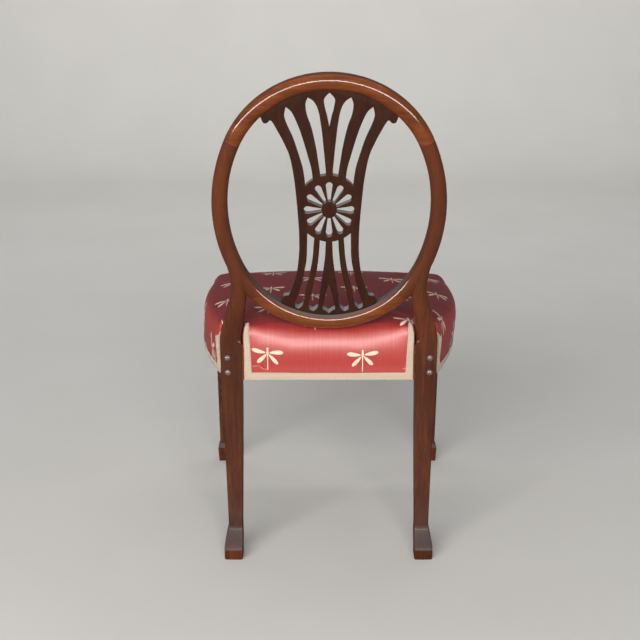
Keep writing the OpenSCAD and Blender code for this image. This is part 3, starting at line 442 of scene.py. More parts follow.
# %% Other cloths and metals
def braid_cloth():
    f = Finish("cream_braid")
    at = f.cloth()
    # u runs along the braid and v across it, in metres
    u, v, _ = f.parts(at)
    across = (v * (1 / 0.0035)).math("PINGPONG", 1.0)
    slant = ((u + across * 0.0028) * (1 / 0.0021)).math("FRACT")
    thread = (slant - 0.5).math("ABSOLUTE") * 2
    fuzz = f.span(f.noise(at, 620, 3, 0.7), 0.32, 0.68)
    # the grooves between the threads are painted dark, a painted shade, with random fuzz in the
    # tone
    colour = f.blend(thread * 0.6 + fuzz * 0.6, (0.98, 0.82, 0.64), (0.44, 0.32, 0.21))
    f.feed(Base_Color=colour, Roughness=0.72 + fuzz * 0.15, Sheen_Weight=0.25)
    f.bump((1.0 - thread) * 0.8 + fuzz * 0.35, 0.0007, 0.9)
    return f.made


def weave(name, dark, light, pitch, depth):
    f = Finish(name)
    at = f.cloth()
    u, v, _ = f.parts(at)
    over = (u * (pi / pitch)).math("SINE") * (v * (pi / pitch)).math("SINE")
    warp = (u * (2 * pi / pitch)).math("COSINE")
    weft = (v * (2 * pi / pitch)).math("COSINE")
    height = over * 0.5 + warp * 0.25 + weft * 0.25
    stain = f.noise(at, 40, 4, 0.6)
    # the low places of the weave are painted a little darker, a painted shade, under random stains
    f.feed(Base_Color=f.blend(f.span(height * 0.3 + stain, 0.25, 0.75), dark, light),
           Roughness=0.85 + stain * 0.1)
    f.bump(height, depth, 0.8)
    return f.made


def metal(name, dark, light, rough):
    f = Finish(name)
    spots = f.noise(f.objects(), 300, 4, 0.6)
    dull = f.span(spots, 0.4, 0.7)
    f.feed(Base_Color=f.blend(dull, light, dark), Metallic=1.0, Roughness=rough + dull * 0.3)
    f.bump(spots, 0.0001, 0.4)
    return f.made


def hair_filling():
    f = Finish("hair_and_wadding")
    at = f.objects()
    tufts = f.noise(at, 90, 6, 0.7)
    hairs = f.noise(at, 600, 4, 0.7)
    f.feed(Base_Color=f.blend(tufts, (0.62, 0.58, 0.50), (0.86, 0.84, 0.79)), Roughness=0.95)
    f.bump(tufts * 0.7 + hairs * 0.3, 0.002, 0.6)
    return f.made


braid = braid_cloth()
jute = weave("jute_webbing", (0.30, 0.20, 0.10), (0.58, 0.44, 0.26), 0.004, 0.0008)
hessian = weave("hessian", (0.33, 0.23, 0.12), (0.62, 0.48, 0.30), 0.0025, 0.0006)
calico = weave("black_calico", (0.010, 0.010, 0.011), (0.030, 0.030, 0.032), 0.0012, 0.0003)
steel = metal("screw_steel", (0.16, 0.13, 0.11), (0.55, 0.54, 0.52), 0.32)
tack_metal = metal("tack_steel", (0.04, 0.04, 0.045), (0.16, 0.17, 0.20), 0.38)
filling = hair_filling()
print("cloth and metal finishes made")

# %% [markdown]
# The oval's rail. A D shaped section, flat at the front and rounded at the rear, is drawn once
# and spun about the centre of each arc. Its corners are rounded before it is spun, so every
# arris of the rail comes out soft. The rounding is what carries the long line of light round
# the top of the back.

# %% The rail's section, and spinning it
SECTION_STEPS = 12
SOFT_FRONT, SOFT_REAR = 0.0025, 0.0011
SPIN_STEP = radians(2.2)


def rail_section(bm, radius, up, turn):
    """The section, standing on a ray from the centre of an arc; gives its edges."""
    r = (RAIL_W**2 / 4 + CROWN**2) / (2 * CROWN)
    half = RAIL_W / 2
    line = []
    for i in range(SECTION_STEPS + 1):
        x = -half + RAIL_W * i / SECTION_STEPS
        line.append((x, r - sqrt(r * r - x * x)))
    line += [(half, RAIL_T), (-half, RAIL_T)]
    verts = [bm.verts.new((radius - half + x, 0, w)) for x, w in line]
    bm.faces.new(verts)
    for vert, size in ((verts[-1], SOFT_FRONT), (verts[-2], SOFT_FRONT), (verts[0], SOFT_REAR),
                       (verts[SECTION_STEPS], SOFT_REAR)):
        bmesh.ops.bevel(bm, geom=[vert], offset=size, offset_type="OFFSET", segments=3,
                        profile=0.5, affect="VERTICES", material=-1, clamp_overlap=True)
    bmesh.ops.rotate(bm, verts=bm.verts, cent=(0, 0, 0), matrix=Matrix.Rotation(turn, 3, "Z"))
    bmesh.ops.translate(bm, verts=bm.verts, vec=(0, up, 0))
    return list(bm.edges)


def spun(bm, geom, centre, axis, angle, steps, merge=False):
    """Spins an outline, and gives the edges at the end of the turn."""
    done = bmesh.ops.spin(bm, geom=geom, cent=centre, axis=axis, dvec=(0, 0, 0), angle=angle,
                          steps=steps, use_merge=merge, use_normal_flip=False,
                          use_duplicate=False)
    return [g for g in done["geom_last"] if isinstance(g, bmesh.types.BMEdge)]


def joined_up(bm, dist):
    bmesh.ops.remove_doubles(bm, verts=bm.verts, dist=dist)
    bmesh.ops.recalc_face_normals(bm, faces=bm.faces)
    return bm


def arc_rail(start, turns, side=1):
    """A length of rail: start is (radius, centre height, angle), turns are (centre, angle)."""
    bm = bmesh.new()
    bm.loops.layers.uv.new("cloth")
    edges = rail_section(bm, *start)
    for centre, angle in turns:
        geom = edges + list({v for e in edges for v in e.verts})
        edges = spun(bm, geom, centre, (0, 0, 1), angle, max(2, round(abs(angle) / SPIN_STEP)))
    bmesh.ops.holes_fill(bm, edges=[e for e in bm.edges if e.is_boundary], sides=0)
    joined_up(bm, 1e-6)
    bm.transform(BACK)
    if side < 0:
        bmesh.ops.scale(bm, verts=bm.verts, vec=(-1, 1, 1))
        bmesh.ops.recalc_face_normals(bm, faces=bm.faces)
    return bm


# %% The two rails of the oval
def out_x(z):
    """Outer edge of the oval at a height."""
    v = abs((z - OVAL_Z) / cos(RAKE))
    if v < SIDE_R * sin(MEET):
        return sqrt(SIDE_R**2 - v * v) - SIDE_OFF
    return sqrt(max(0, END_R**2 - (v - END_OFF) ** 2))


NARROW = RAIL_H * 0.08
SWELL_Z = RAIL_TOP + NARROW
HEAD_TOP = OVAL_Z - SIDE_R * sin(MEET) * 0.93 * cos(RAKE)
WAIST_Z = mix(RAIL_TOP, HEAD_TOP, 0.755)
WAIST_X = out_x(HEAD_TOP) - NARROW
CROTCH_X = WAIST_X - 0.028
CROTCH = acos(CROTCH_X / END_R)
CROTCH_Z = OVAL_Z - (END_OFF + END_R * sin(CROTCH)) * cos(RAKE)
LOWER = CROTCH + radians(4)
GAP = 0.00012
bm = arc_rail((END_R, END_OFF, MEET + GAP / END_R),
              [((0, END_OFF, 0), pi - 2 * MEET - 2 * GAP / END_R)])
piece("crest_rail_polished", bm, wood_cross, "crest_rail")
bm = arc_rail((END_R, -END_OFF, LOWER - pi), [((0, -END_OFF, 0), pi - 2 * LOWER)])
piece("lower_rail_polished", bm, wood_cross, "lower_back_rail")
print("crotch", round(CROTCH_Z, 4), "head", round(HEAD_TOP, 4), "waist", round(WAIST_Z, 4))

# %% [markdown]
# A rear leg. It kicks back at the foot, stands straight at the seat, narrows to a waist and
# flows into the side of the oval. A grid is wrapped round it: each level is a rounded
# rectangle whose corners and rear face change with height. Above the seat the inner rear
# corner turns from a crisp arris into a broad rounding, with the small scooped stop that
# joiners call a lamb's tongue.

# %% Outline of a rear leg
FOOT_H, ANKLE_Z = 0.025, 0.066
FOOT_W, ANKLE_W, POST_W = 0.036, 0.028, 0.042
FOOT_D, ANKLE_D, POST_D = 0.038, 0.029, 0.040
FOOT_X, BACK_X = 0.2085, 0.212
ANKLE_OUT = FOOT_X - (FOOT_W - ANKLE_W) * 0.88
STILE_W, BEND_RUN = 0.0286, 0.0288


def up_to_rails(z, foot, ankle, post, power=1):
    """A size of the leg that goes from foot to ankle to the post at the rails."""
    if z < FOOT_H:
        return foot
    if z < ANKLE_Z:
        return ease(foot, ankle, share(z, FOOT_H, ANKLE_Z))
    return mix(ankle, post, share(z, ANKLE_Z, RAIL_Z) ** power)


def leg_out(z):
    if z < RAIL_Z:
        return up_to_rails(z, FOOT_X, ANKLE_OUT, BACK_X)
    if z < WAIST_Z:
        return ease(BACK_X, WAIST_X, share(z, SWELL_Z, WAIST_Z))
    t = min(1, share(z, WAIST_Z, HEAD_TOP))
    return mix(WAIST_X, out_x(HEAD_TOP) - 0.0003, t * t)


def leg_in(z):
    if z < RAIL_Z:
        return up_to_rails(z, FOOT_X - FOOT_W, ANKLE_OUT - ANKLE_W, BACK_X - POST_W)
    if z < CROTCH_Z:
        return ease(BACK_X - POST_W, CROTCH_X, share(z, SWELL_Z, CROTCH_Z))
    return leg_out(z) - mix(leg_out(CROTCH_Z) - CROTCH_X, STILE_W, clamp((z - CROTCH_Z) / 0.04))


def leg_rear(z):
    rise = KICK * 0.48
    if z <= FOOT_H:
        return 0.0
    if z < ANKLE_Z:
        return rise * (1 - (1 - share(z, FOOT_H, ANKLE_Z)) ** 2)
    if z < RAIL_Z:
        return KICK - (KICK - rise) * ((RAIL_Z - z) / (RAIL_Z - ANKLE_Z)) ** 2
    if z < BEND_Z - BEND_RUN:
        return KICK
    if z < BEND_Z + BEND_RUN:
        return KICK - tan(RAKE) * (z - BEND_Z + BEND_RUN) ** 2 / (4 * BEND_RUN)
    return KICK - (z - BEND_Z) * tan(RAKE)


def leg_deep(z):
    if z < RAIL_Z:
        return up_to_rails(z, FOOT_D, ANKLE_D, POST_D, 0.8)
    return mix(POST_D, RAIL_T / cos(RAKE), ease(0, 1, share(z, SWELL_Z, CROTCH_Z)))


def toe_line(z):
    """The rear face, with the corner of the toe rounded over."""
    if not 0.006 < z < 0.09:
        return leg_rear(z)
    return sum(leg_rear(z + 0.0018 * k) for k in range(-3, 4)) / 7


print("leg at the rails", [round(f(RAIL_Z), 4) for f in (leg_in, leg_out, leg_rear, leg_deep)])

# %% Rings of a rear leg
REAR_STEPS, CORNER_STEPS = 8, 5
STOP_Z = 0.437


def leg_ring(z):
    """Points round the leg at a height, from the rear outer corner inwards."""
    xo, xi, back, deep = leg_out(z), leg_in(z), toe_line(z), leg_deep(z)
    rounded = ease(0, 1, (z - STOP_Z) / (CROTCH_Z - 0.02 - STOP_Z))
    crown = mix(0.0006, CROWN, rounded)
    outer = mix(0.0026, SOFT_REAR, rounded)
    tongue = ease(0, 1, (z - STOP_Z) / 0.009)
    inner = mix(0.0018, 0.0105, tongue) * mix(1, 0.12, ease(0, 1, (z - 0.47) / 0.07))
    half, mid = (xo - xi) / 2, (xo + xi) / 2
    bow = (half**2 + crown**2) / (2 * crown)
    arcs = []
    for x, y, r, start in ((xo, back, outer, 0), (xi, back, inner, 90),
                           (xi, back + deep, 0.002, 180), (xo, back + deep, 0.002, 270)):
        cx, cy = x + (-r if x == xo else r), y + (r if y == back else -r)
        turns = [radians(start + 90 * i / CORNER_STEPS) for i in range(CORNER_STEPS + 1)]
        arcs.append([(cx + r * cos(a), cy - r * sin(a)) for a in turns])
    points = []
    for arc, after, steps in zip(arcs, arcs[1:] + arcs[:1], (REAR_STEPS, 2, 2, 2)):
        (x0, y0), (x1, y1) = arc[-1], after[0]
        points += arc
        points += [(mix(x0, x1, i / steps), mix(y0, y1, i / steps)) for i in range(1, steps)]
    ring = []
    for x, y in points:
        fall = bow - sqrt(max(0, bow * bow - min(abs(x - mid), half) ** 2))
        ring.append((x, y + fall * (1 - clamp((y - back) / (deep * 0.7)))))
    return ring


LEVELS = [0.0, 0.0018, 0.010, 0.017, 0.019, 0.021, 0.023]
LEVELS += [FOOT_H + 0.002 * i for i in range(5)] + [mix(0.036, ANKLE_Z, i / 9) for i in range(9)]
LEVELS += [mix(ANKLE_Z, RAIL_Z, i / 14) for i in range(14)]
LEVELS += [mix(RAIL_Z, STOP_Z - 0.002, i / 6) for i in range(6)]
LEVELS += [STOP_Z + 0.0011 * i for i in range(-1, 9)]
LEVELS += [mix(STOP_Z + 0.012, HEAD_TOP, i / 30) for i in range(31)]
print("levels of a rear leg", len(LEVELS))

# %% [markdown]
# Each rear leg is one piece of wood with the upright length of the oval above it. The two
# lengths are made apart and kept in one mesh, where the leg's head lies inside the rail.

# %% The rear legs
def leg_part(side):
    """The tapered length of a leg, from its foot into the oval."""
    rings = [leg_ring(z) for z in LEVELS]
    count = len(rings[0])
    mid = (leg_out(0) + leg_in(0)) / 2

    def place(i, j):
        x, y = rings[j][i % count]
        if j == 0:  # the sole is a little smaller than the foot
            x += (mid - x) * 0.0012 / 0.018
            y += (0.019 - y) * 0.0012 / 0.019
        return Vector((side * x, HEEL_Y - y, LEVELS[j]))

    return wrapped_grid(count, len(LEVELS) - 1, place, ends=True)


for side, word in ((1, "left"), (-1, "right")):
    bm = leg_part(side)
    stile = arc_rail((END_R, -END_OFF, -LOWER),
                     [((0, -END_OFF, 0), LOWER - MEET),
                      ((-SIDE_OFF, 0, 0), 2 * MEET - GAP / SIDE_R)], side)
    spare = mesh_of("spare", stile)
    bm.from_mesh(spare)
    bpy.data.meshes.remove(spare)
    leg = piece(f"rear_leg_{word}_polished", bm, wood_long, f"rear_leg_{word}")
    print(leg.name, len(leg.data.polygons), "faces")

# %% [markdown]
# The pierced splat. Its outline is right in the solid, so its copy is kept and only dressed:
# the lower end of each slot is scooped, as a carver eases it with a gouge, and then all the
# arrises are rounded.

# %% The splat
SCOOPS = [(0.268, -0.832), (0.138, -0.852), (0.0, -0.870), (-0.138, -0.852), (-0.268, -0.832)]


def scoop(bm):
    drawing = BACK.inverted()
    for v in bm.verts:
        p = drawing @ v.co
        if p.z < 0.015:
            continue
        for across, up in SCOOPS:
            x, low = across * HALF_W, up * HALF_H
            if abs(p.x - x) < 0.012 and low - 0.004 < p.y < low + 0.020:
                raised = 0.0032 * ease(1, 0, (p.y - low) / 0.016)
                v.co = BACK @ Vector((p.x, p.y + raised, p.z))
                break


bm = softened("back_splat", 0.0015, 4, 34, scoop)
splat = piece("pierced_splat_polished", bm, wood_splat, "back_splat", 40)
print("splat", len(splat.data.polygons), "faces")

# %% [markdown]
# Front legs: a square taper that stands on a spade foot. The solid has every flat, so its copy
# gets rounded arrises.

# %% Front legs
for word in ("left", "right"):
    bm = softened("front_leg_" + word, 0.0016, 3, 20)
    leg = piece(f"front_leg_{word}_polished", bm, wood_long, "front_leg_" + word)
    print(leg.name, len(leg.data.polygons), "faces")

# %% [markdown]
# The domed plugs on the rear legs, four buttons of dark polished wood over the long screws.
# Their greyish tone is partly their own and partly a painted reflection of the sky in the polish.
# A rounded outline is spun about each plug's own axis.

# %% Plugs
BUTTON = [(0.0, 0.0031), (0.0016, 0.0030), (0.0032, 0.00255), (0.0045, 0.0018),
          (0.0055, 0.0009), (0.0060, 0.0002), (0.0060, -0.008), (0.0, -0.008)]


def plug_buttons():
    bm = bmesh.new()
    face = HEEL_Y - KICK
    for side in (1, -1):
        for up in (-0.015, 0.015):
            x, z = side * (BACK_X - 0.014), RAIL_Z + RAIL_H * 0.43 + up
            verts = [bm.verts.new((x + r, face + h, z)) for r, h in BUTTON]
            edges = [bm.edges.new(pair) for pair in zip(verts, verts[1:])]
            spun(bm, edges + verts, (x, face, z), (0, 1, 0), 2 * pi, 32, merge=True)
    return joined_up(bm, 1e-5)


def plug_finish():
    f = Finish("plug_polish")
    cloud = f.noise(f.objects(), 160, 3)
    # the pale greyish pink is partly a painted reflection of the sky on the polish
    f.feed(Base_Color=f.blend(cloud, (0.090, 0.060, 0.060), (0.240, 0.170, 0.170)),
           Roughness=0.30 + cloud * 0.12, Coat_Weight=1.0, Coat_Roughness=0.12)
    f.bump(cloud, 0.0002, 0.3)
    return f.made


plugs = piece("plug_buttons", plug_buttons(), plug_finish(), "rail_plugs", 50)
print("plugs", len(plugs.data.polygons), "faces")

# %% [markdown]
# The seat's outline in plan. Stations run round the seat from the middle of the rear to the
# middle of the front and back, past the notches for the rear legs. Each knows its outward
# direction, how broadly the top rolls over there, how far the side bulges, and whether the
# cover runs down to the rail's foot or is tucked in beside a leg.

# %% Stations round the seat
FRAME_D, FRONT_HALF, POST_IN, CLEAR = 0.442, 0.2585, 0.170, 0.0008
SEAT_RISE, SEAT_CROWN, SEAT_ROLL, BULGE, SKIRT = 0.030, 0.022, 0.022, 0.010, 0.003
SIDE_BOW, FRONT_BOW, CORNER_R = 0.024, 0.022, 0.014
EDGE_Z = RAIL_TOP + SEAT_RISE
BULGE_Z = RAIL_Z + (EDGE_Z - RAIL_Z) * 0.64
REAR_BASE = KICK + 0.002
NOTCH_X, NOTCH_Y = POST_IN - CLEAR, KICK + POST_D + CLEAR
FRONT_FACE = KICK + FRAME_D
POST_FACE = FRONT_FACE - POST_W
TUCK_Z = RAIL_TOP + 0.0073


def arc_through(ax, ay, bx, by, bow):
    chord = hypot(bx - ax, by - ay)
    r = (chord**2 / 4 + bow**2) / (2 * bow)
    nx, ny = (by - ay) / chord, (ax - bx) / chord
    return (ax + bx) / 2 + nx * (bow - r), (ay + by) / 2 + ny * (bow - r), r


side_cx, side_cy, side_r = arc_through(BACK_X, KICK + POST_D, FRONT_HALF, POST_FACE, SIDE_BOW)
front_r = ((FRONT_HALF - POST_W) ** 2 + FRONT_BOW**2) / (2 * FRONT_BOW)
front_cy = FRONT_FACE + FRONT_BOW - front_r
REAR_N, NOTCH_N, SIDE_N, CORNER_N, FRONT_N = 25, 6, 55, 9, 30


def station(x, y, nx=0.0, ny=0.0, roll=0.0, bulge=0.0, low=True):
    return dict(x=x, y=y, nx=nx, ny=ny, roll=roll, bulge=bulge, low=low)


def on_arc(cx, cy, r, t, roll=1):
    return station(cx + r * cos(t), cy + r * sin(t), cos(t), sin(t), roll, 1)


def half_outline():
    rows = []
    for i in range(REAR_N):
        x = NOTCH_X * i / (REAR_N - 1)
        rows.append(station(x, REAR_BASE, 0, -1, ease(1, 0.2, (x - 0.115) / 0.054), 0.4))
    for i in range(1, NOTCH_N + 1):
        rows.append(station(NOTCH_X, mix(REAR_BASE, NOTCH_Y, i / NOTCH_N), low=False))
    for i in range(1, NOTCH_N):
        rows.append(station(mix(NOTCH_X, BACK_X, i / NOTCH_N), NOTCH_Y, low=False))
    a = atan2(NOTCH_Y - side_cy, BACK_X - side_cx)
    b = atan2(POST_FACE - side_cy, FRONT_HALF - side_cx)
    for i in range(SIDE_N):
        t = mix(a, b, i / (SIDE_N - 1))
        rows.append(on_arc(side_cx, side_cy, side_r, t, ease(0.1, 1, i / 11)))
    for i in range(CORNER_N):
        t = radians(mix(6, 84, i / (CORNER_N - 1)))
        rows.append(on_arc(FRONT_HALF - CORNER_R, FRONT_FACE - CORNER_R, CORNER_R, t))
    first = atan2(FRONT_FACE - front_cy, FRONT_HALF - POST_W)
    for i in range(FRONT_N):
        rows.append(on_arc(0, front_cy, front_r, mix(first, pi / 2, i / (FRONT_N - 1))))
    return rows


half = half_outline()
ROUND = half + [dict(s, x=-s["x"], nx=-s["nx"]) for s in half[-2:0:-1]]
COUNT = len(ROUND)
SIDE_START = REAR_N + 2 * NOTCH_N - 1
MID = (0.0, (KICK + 0.004 + FRONT_FACE) / 2)
print("stations", COUNT)

# %% [markdown]
# Points of the seat's skin. The top rises to a crown in its middle, a quarter turn rolls over
# the edge, and the side swells out and comes back in to the tacked lower edge. The rear
# corners stand higher, where the cloth is drawn up round the legs, and so do the sides. The
# stuffing has settled a little towards one side, which swells further out than the other.

# %% The seat's skin
def side_swell(z):
    return SKIRT + (BULGE - SKIRT) * (1 - ((BULGE_Z - z) / (BULGE_Z - RAIL_Z)) ** 1.5)


def lift(s):
    """How much higher the seat's edge stands at a station."""
    beside = ease(0.55, 1, (abs(s["x"]) / NOTCH_X - 0.3) / 0.4)
    rear = 0.012 * beside * ease(1, 0, (s["y"] - REAR_BASE) / (FRAME_D * 0.35))
    side = 0.0075 * ease(0, 1, abs(s["nx"]) / 0.8) * ease(0, 1, (s["y"] - NOTCH_Y) / 0.06)
    return rear + side * ease(1, 0.15, (s["y"] - 0.20) / 0.26)


def settled(s, kind, v):
    """How far the stuffing has settled outwards at the right side."""
    if s["nx"] >= 0:
        return 0.0
    high = v if kind == "roll" else 1 + (v - BULGE_Z) / (BULGE_Z - RAIL_Z)
    return 0.0085 * -s["nx"] * ease(0, 1, (s["y"] - 0.12) / 0.14) * clamp(high / 0.8)


def skin_point(s, kind, v):
    """kind is top with v from 0 to 1, roll with v in radians, or side with v a height."""
    roll = s["roll"] * SEAT_ROLL
    top = EDGE_Z + lift(s)
    if kind == "top":
        x = mix(MID[0], s["x"] - s["nx"] * roll, v)
        y = mix(MID[1], s["y"] - s["ny"] * roll, v)
        z = mix(EDGE_Z + SEAT_CROWN, top, v**3.4)
    else:
        if kind == "roll":
            out = s["bulge"] * BULGE * sin(v) - roll * (1 - sin(v))
            raw = BULGE_Z + (EDGE_Z - BULGE_Z) * cos(v)
        else:
            out, raw = s["bulge"] * side_swell(v), v
        x, y = s["x"] + s["nx"] * out - settled(s, kind, v), s["y"] + s["ny"] * out
        z = mix(top, RAIL_Z if s["low"] else TUCK_Z, (EDGE_Z - raw) / (EDGE_Z - RAIL_Z))
    # beside a rear leg the skin keeps clear of the wood
    if y < NOTCH_Y + 0.02 and abs(x) < NOTCH_X + 1e-6:
        x = copysign(min(abs(x), leg_in(z) - CLEAR), x)
    if not s["low"] and abs(s["y"] - NOTCH_Y) < 1e-6 and kind != "top":
        y = min(y, leg_rear(z) + leg_deep(z) + CLEAR)
    return Vector((x, HEEL_Y - y, z))


RINGS = [("top", i / 26) for i in range(27)] + [("roll", radians(a)) for a in range(10, 91, 10)]
RINGS += [("side", mix(BULGE_Z, RAIL_Z, i / 9)) for i in range(1, 10)]
print("rings of the skin", len(RINGS))


# %% Places on the seat's wall
def between(i, kind, v):
    """A point of the skin between two stations."""
    i = i % COUNT
    low = int(i)
    a = skin_point(ROUND[low], kind, v)
    return a.lerp(skin_point(ROUND[(low + 1) % COUNT], kind, v), i - low)


def wall(i, z):
    """A point of the seat's upright face at a height, or past its edge on the top."""
    if z < BULGE_Z:
        return between(i, "side", z)
    if z > EDGE_Z:
        p = between(i, "top", 1 - (z - EDGE_Z) / 0.19)
        p.x = between(i, "top", 1).x
        return p
    return between(i, "roll", acos(clamp((z - BULGE_Z) / (EDGE_Z - BULGE_Z))))


def wall_normal(i, z):
    """The way out of the seat: one step along the wall crossed with one up it."""
    along = wall(i + 0.2, z) - wall(i - 0.2, z)
    up = wall(i, z + 0.0015) - wall(i, z - 0.0015)
    return along.cross(up).normalized()


test = wall_normal(0, 0.40)
OUTWARD = 1 if test.y > 0 else -1
print("wall faces", [round(c, 3) for c in test * OUTWARD])

# %% [markdown]
# The same grid also serves as a map from the seat to the flat cloth. On top the cloth lies
# straight, so a point keeps its place in plan. Past the edge it goes on by the distance run
# down the wall, outwards from the side that it hangs from. The cloth has a seam only at the
# front corners, where it is pleated.

# %% The map from seat to cloth
def eased_cloth(x, y):
    """The cloth is stretched widest over the rear panel, and eased a little towards the front."""
    rear, front = ease(0, 1, (y - 0.07) / 0.13), clamp((y - 0.23) / 0.17)
    wide = 1 - 0.048 * rear - 0.026 * front
    # the cloth is pulled forward over the middle of the rear roll
    pulled = 0.011 * ease(1, 0, abs(x - 0.02) / 0.10) * ease(0, 1, (y - 0.03) / 0.03)
    pulled *= ease(1, 0, (y - 0.10) / 0.06)
    y = y - 0.0042 * ease(0, 1, (y - 0.04) / 0.05) - pulled
    return (x - 0.0068 * rear - 0.0035 * front) / wide, y


def hangs(i, s):
    """The way in which the cloth hangs from the top at a station."""
    if not s["low"]:
        return 0.0, 0.0
    if abs(s["nx"]) > 0.70 or SIDE_START <= min(i, COUNT - i) < SIDE_START + SIDE_N:
        return copysign(1.0, s["x"]), 0.0
    return 0.0, -1.0 if s["ny"] < 0 else 1.0


def cloth_places():
    table = {}
    for i, s in enumerate(ROUND):
        nx, ny = hangs(i, s)
        run, edge = 0.0, skin_point(s, "top", 1.0)
        last = edge
        for j, (kind, v) in enumerate(RINGS):
            p = skin_point(s, kind, v)
            if kind == "top":
                table[i, j] = eased_cloth(p.x, HEEL_Y - p.y)
            else:
                run += (p - last).length
                last = p
                table[i, j] = eased_cloth(edge.x + nx * run, HEEL_Y - edge.y + ny * run)
    return table


def cloth_table():
    """Triangles of the skin, each with its three places on the flat cloth."""
    places = cloth_places()
    spots, tris, flats = [], [], []
    for j in range(len(RINGS) - 1):
        for i in range(COUNT):
            k = (i + 1) % COUNT
            a, b, c, d = (i, j), (i, j + 1), (k, j + 1), (k, j)
            for keys in ((a, b, c), (a, c, d)):
                points = [skin_point(ROUND[p], *RINGS[q]) for p, q in keys]
                if (points[1] - points[0]).cross(points[2] - points[0]).length < 1e-9:
                    continue
                tris.append(tuple(range(len(spots), len(spots) + 3)))
                spots += points
                flats.append([Vector((*places[key], 0)) for key in keys])
    return BVHTree.FromPolygons(spots, tris), spots, flats


cloth_tree, cloth_spots, cloth_flats = cloth_table()
print("cloth map", len(cloth_flats), "triangles")

# %% [markdown]
# The stuffed seat. The skin is made into even squares by a voxel remesh, drawn in by a few
# millimetres, and blown up gently as cloth with its tacked edges held, which gives the soft,
# slightly uneven fullness of real stuffing. No point may move further than a cap. The part
# that closes the skin underneath is then cut away, because a cover is open below.

# %% Even squares
SQUARE, DRAWN_IN, ON_SKIN = 0.0064, 0.0025, 0.0036


def as_made(obj):
    """The mesh with its modifiers applied; the object goes."""
    bpy.context.view_layer.update()
    graph = bpy.context.evaluated_depsgraph_get()
    mesh = bpy.data.meshes.new_from_object(obj.evaluated_get(graph))
    bpy.data.objects.remove(obj)
    return mesh


def held_share(p):
    """How firmly the cover is held: fully at its tacked edge and beside the rear legs."""
    low = clamp((0.400 - p.z) / 0.024)
    forward = HEEL_Y - p.y
    leg = max(abs(p.x) - BACK_X, POST_IN - abs(p.x), forward - 0.104, 0.060 - forward, 0.0)
    return max(low, clamp(1.0 - leg / 0.016))


def even_skin():
    """The skin in even squares, drawn in; its layer on_skin tells the cover from the base."""
    skin = wrapped_grid(COUNT, len(RINGS) - 1,
                        lambda i, j: skin_point(ROUND[i % COUNT], *RINGS[j]), ends=True)
    even = linked("skin", mesh_of("skin", skin))
    squares = even.modifiers.new("squares", "REMESH")
    squares.mode, squares.voxel_size = "VOXEL", SQUARE
    mesh = as_made(even)
    bm = bmesh_of(mesh)
    for _ in range(2):
        bmesh.ops.smooth_vert(bm, verts=bm.verts, factor=0.5, use_axis_x=True, use_axis_y=True,
                              use_axis_z=True)
    bm.normal_update()
    on_skin = bm.faces.layers.int.new("on_skin")
    for face in bm.faces:
        face[on_skin] = int(cloth_tree.find_nearest(face.calc_center_median())[3] < ON_SKIN)
    for v in bm.verts:
        v.co = v.co - v.normal * (DRAWN_IN * (1 - held_share(v.co)))
    bm.to_mesh(mesh)
    bm.free()
    return mesh


# %% Blowing up the cover
FRAMES, MOST_MOVE, QUICK_MOVE = 20, 0.003, 0.002
CLOTH = dict(quality=5, mass=0.3, tension_stiffness=12, compression_stiffness=12,
             bending_stiffness=2, vertex_group_mass="held", use_pressure=True,
             uniform_pressure_force=4)


def blow_up(obj, shares):
    held = obj.vertex_groups.new(name="held")
    for i, held_there in enumerate(shares):
        held.add([i], held_there, "REPLACE")
    settings = obj.modifiers.new("cloth", "CLOTH").settings
    for key, v in CLOTH.items():
        setattr(settings, key, v)
    settings.effector_weights.gravity = 0
    for f in range(1, FRAMES + 1):
        bpy.context.scene.frame_set(f)


def cover_mesh():
    mesh = even_skin()
    before = [v.co.copy() for v in mesh.vertices]
    shares = [held_share(p) for p in before]
    blown = linked("blown", mesh)
    blow_up(blown, shares)
    mesh = as_made(blown)
    furthest = 0.0
    for v, old, held_there in zip(mesh.vertices, before, shares):
        move = v.co - old
        furthest = max(furthest, move.length)
        if move.length > MOST_MOVE:
            v.co = old + move * (MOST_MOVE / move.length)
    bpy.context.scene.frame_set(1)
    print("cover moved at most", round(furthest * 1000, 1), "mm")
    bm = bmesh_of(mesh)
    on_skin = bm.faces.layers.int["on_skin"]
    bmesh.ops.delete(bm, geom=[f for f in bm.faces if not f[on_skin]], context="FACES")
    for v in bm.verts:
        if v.is_boundary and v.co.z < RAIL_Z + 0.012:
            v.co.z = RAIL_Z + 0.0003
    bm.to_mesh(mesh)
    bm.free()
    smooth = linked("smooth", mesh)
    halves = smooth.modifiers.new("halves", "SUBSURF")
    halves.levels = halves.render_levels = 1
    return as_made(smooth)


mesh = cover_mesh()
cover_bm = bmesh_of(mesh)
bpy.data.meshes.remove(mesh)
cover_tree = BVHTree.FromBMesh(cover_bm)
print("cover", len(cover_bm.faces), "faces")

# %% [markdown]
# The cover looks up its place on the flat cloth. Each small face finds the nearest triangle of
# the map and carries that triangle's own mapping to its corners, so a face never spans a seam.

# %% Laying the cloth's pattern on the cover
def lay_cloth(bm):
    layer = bm.loops.layers.uv.get("cloth") or bm.loops.layers.uv.new("cloth")
    for face in bm.faces:
        index = cloth_tree.find_nearest(face.calc_center_median())[2]
        a, b, c = cloth_spots[3 * index:3 * index + 3]
        for loop in face.loops:
            q = barycentric_transform(loop.vert.co, a, b, c, *cloth_flats[index])
            loop[layer].uv = (q.x, q.y)


SATIN_T = 0.0012
lay_cloth(cover_bm)
cover = piece("satin_cover", cover_bm, satin, "seat_cover", 80)
thicken(cover, SATIN_T, -1)
print("cover laid", len(cover.data.polygons))

# %% [markdown]
# Under the cover lies the stuffing, a pad of hair and wadding. It has the same form, drawn in
# by a few millimetres, and its underside lies on the hessian.

# %% Stuffing
HESSIAN_TOP = 0.4395


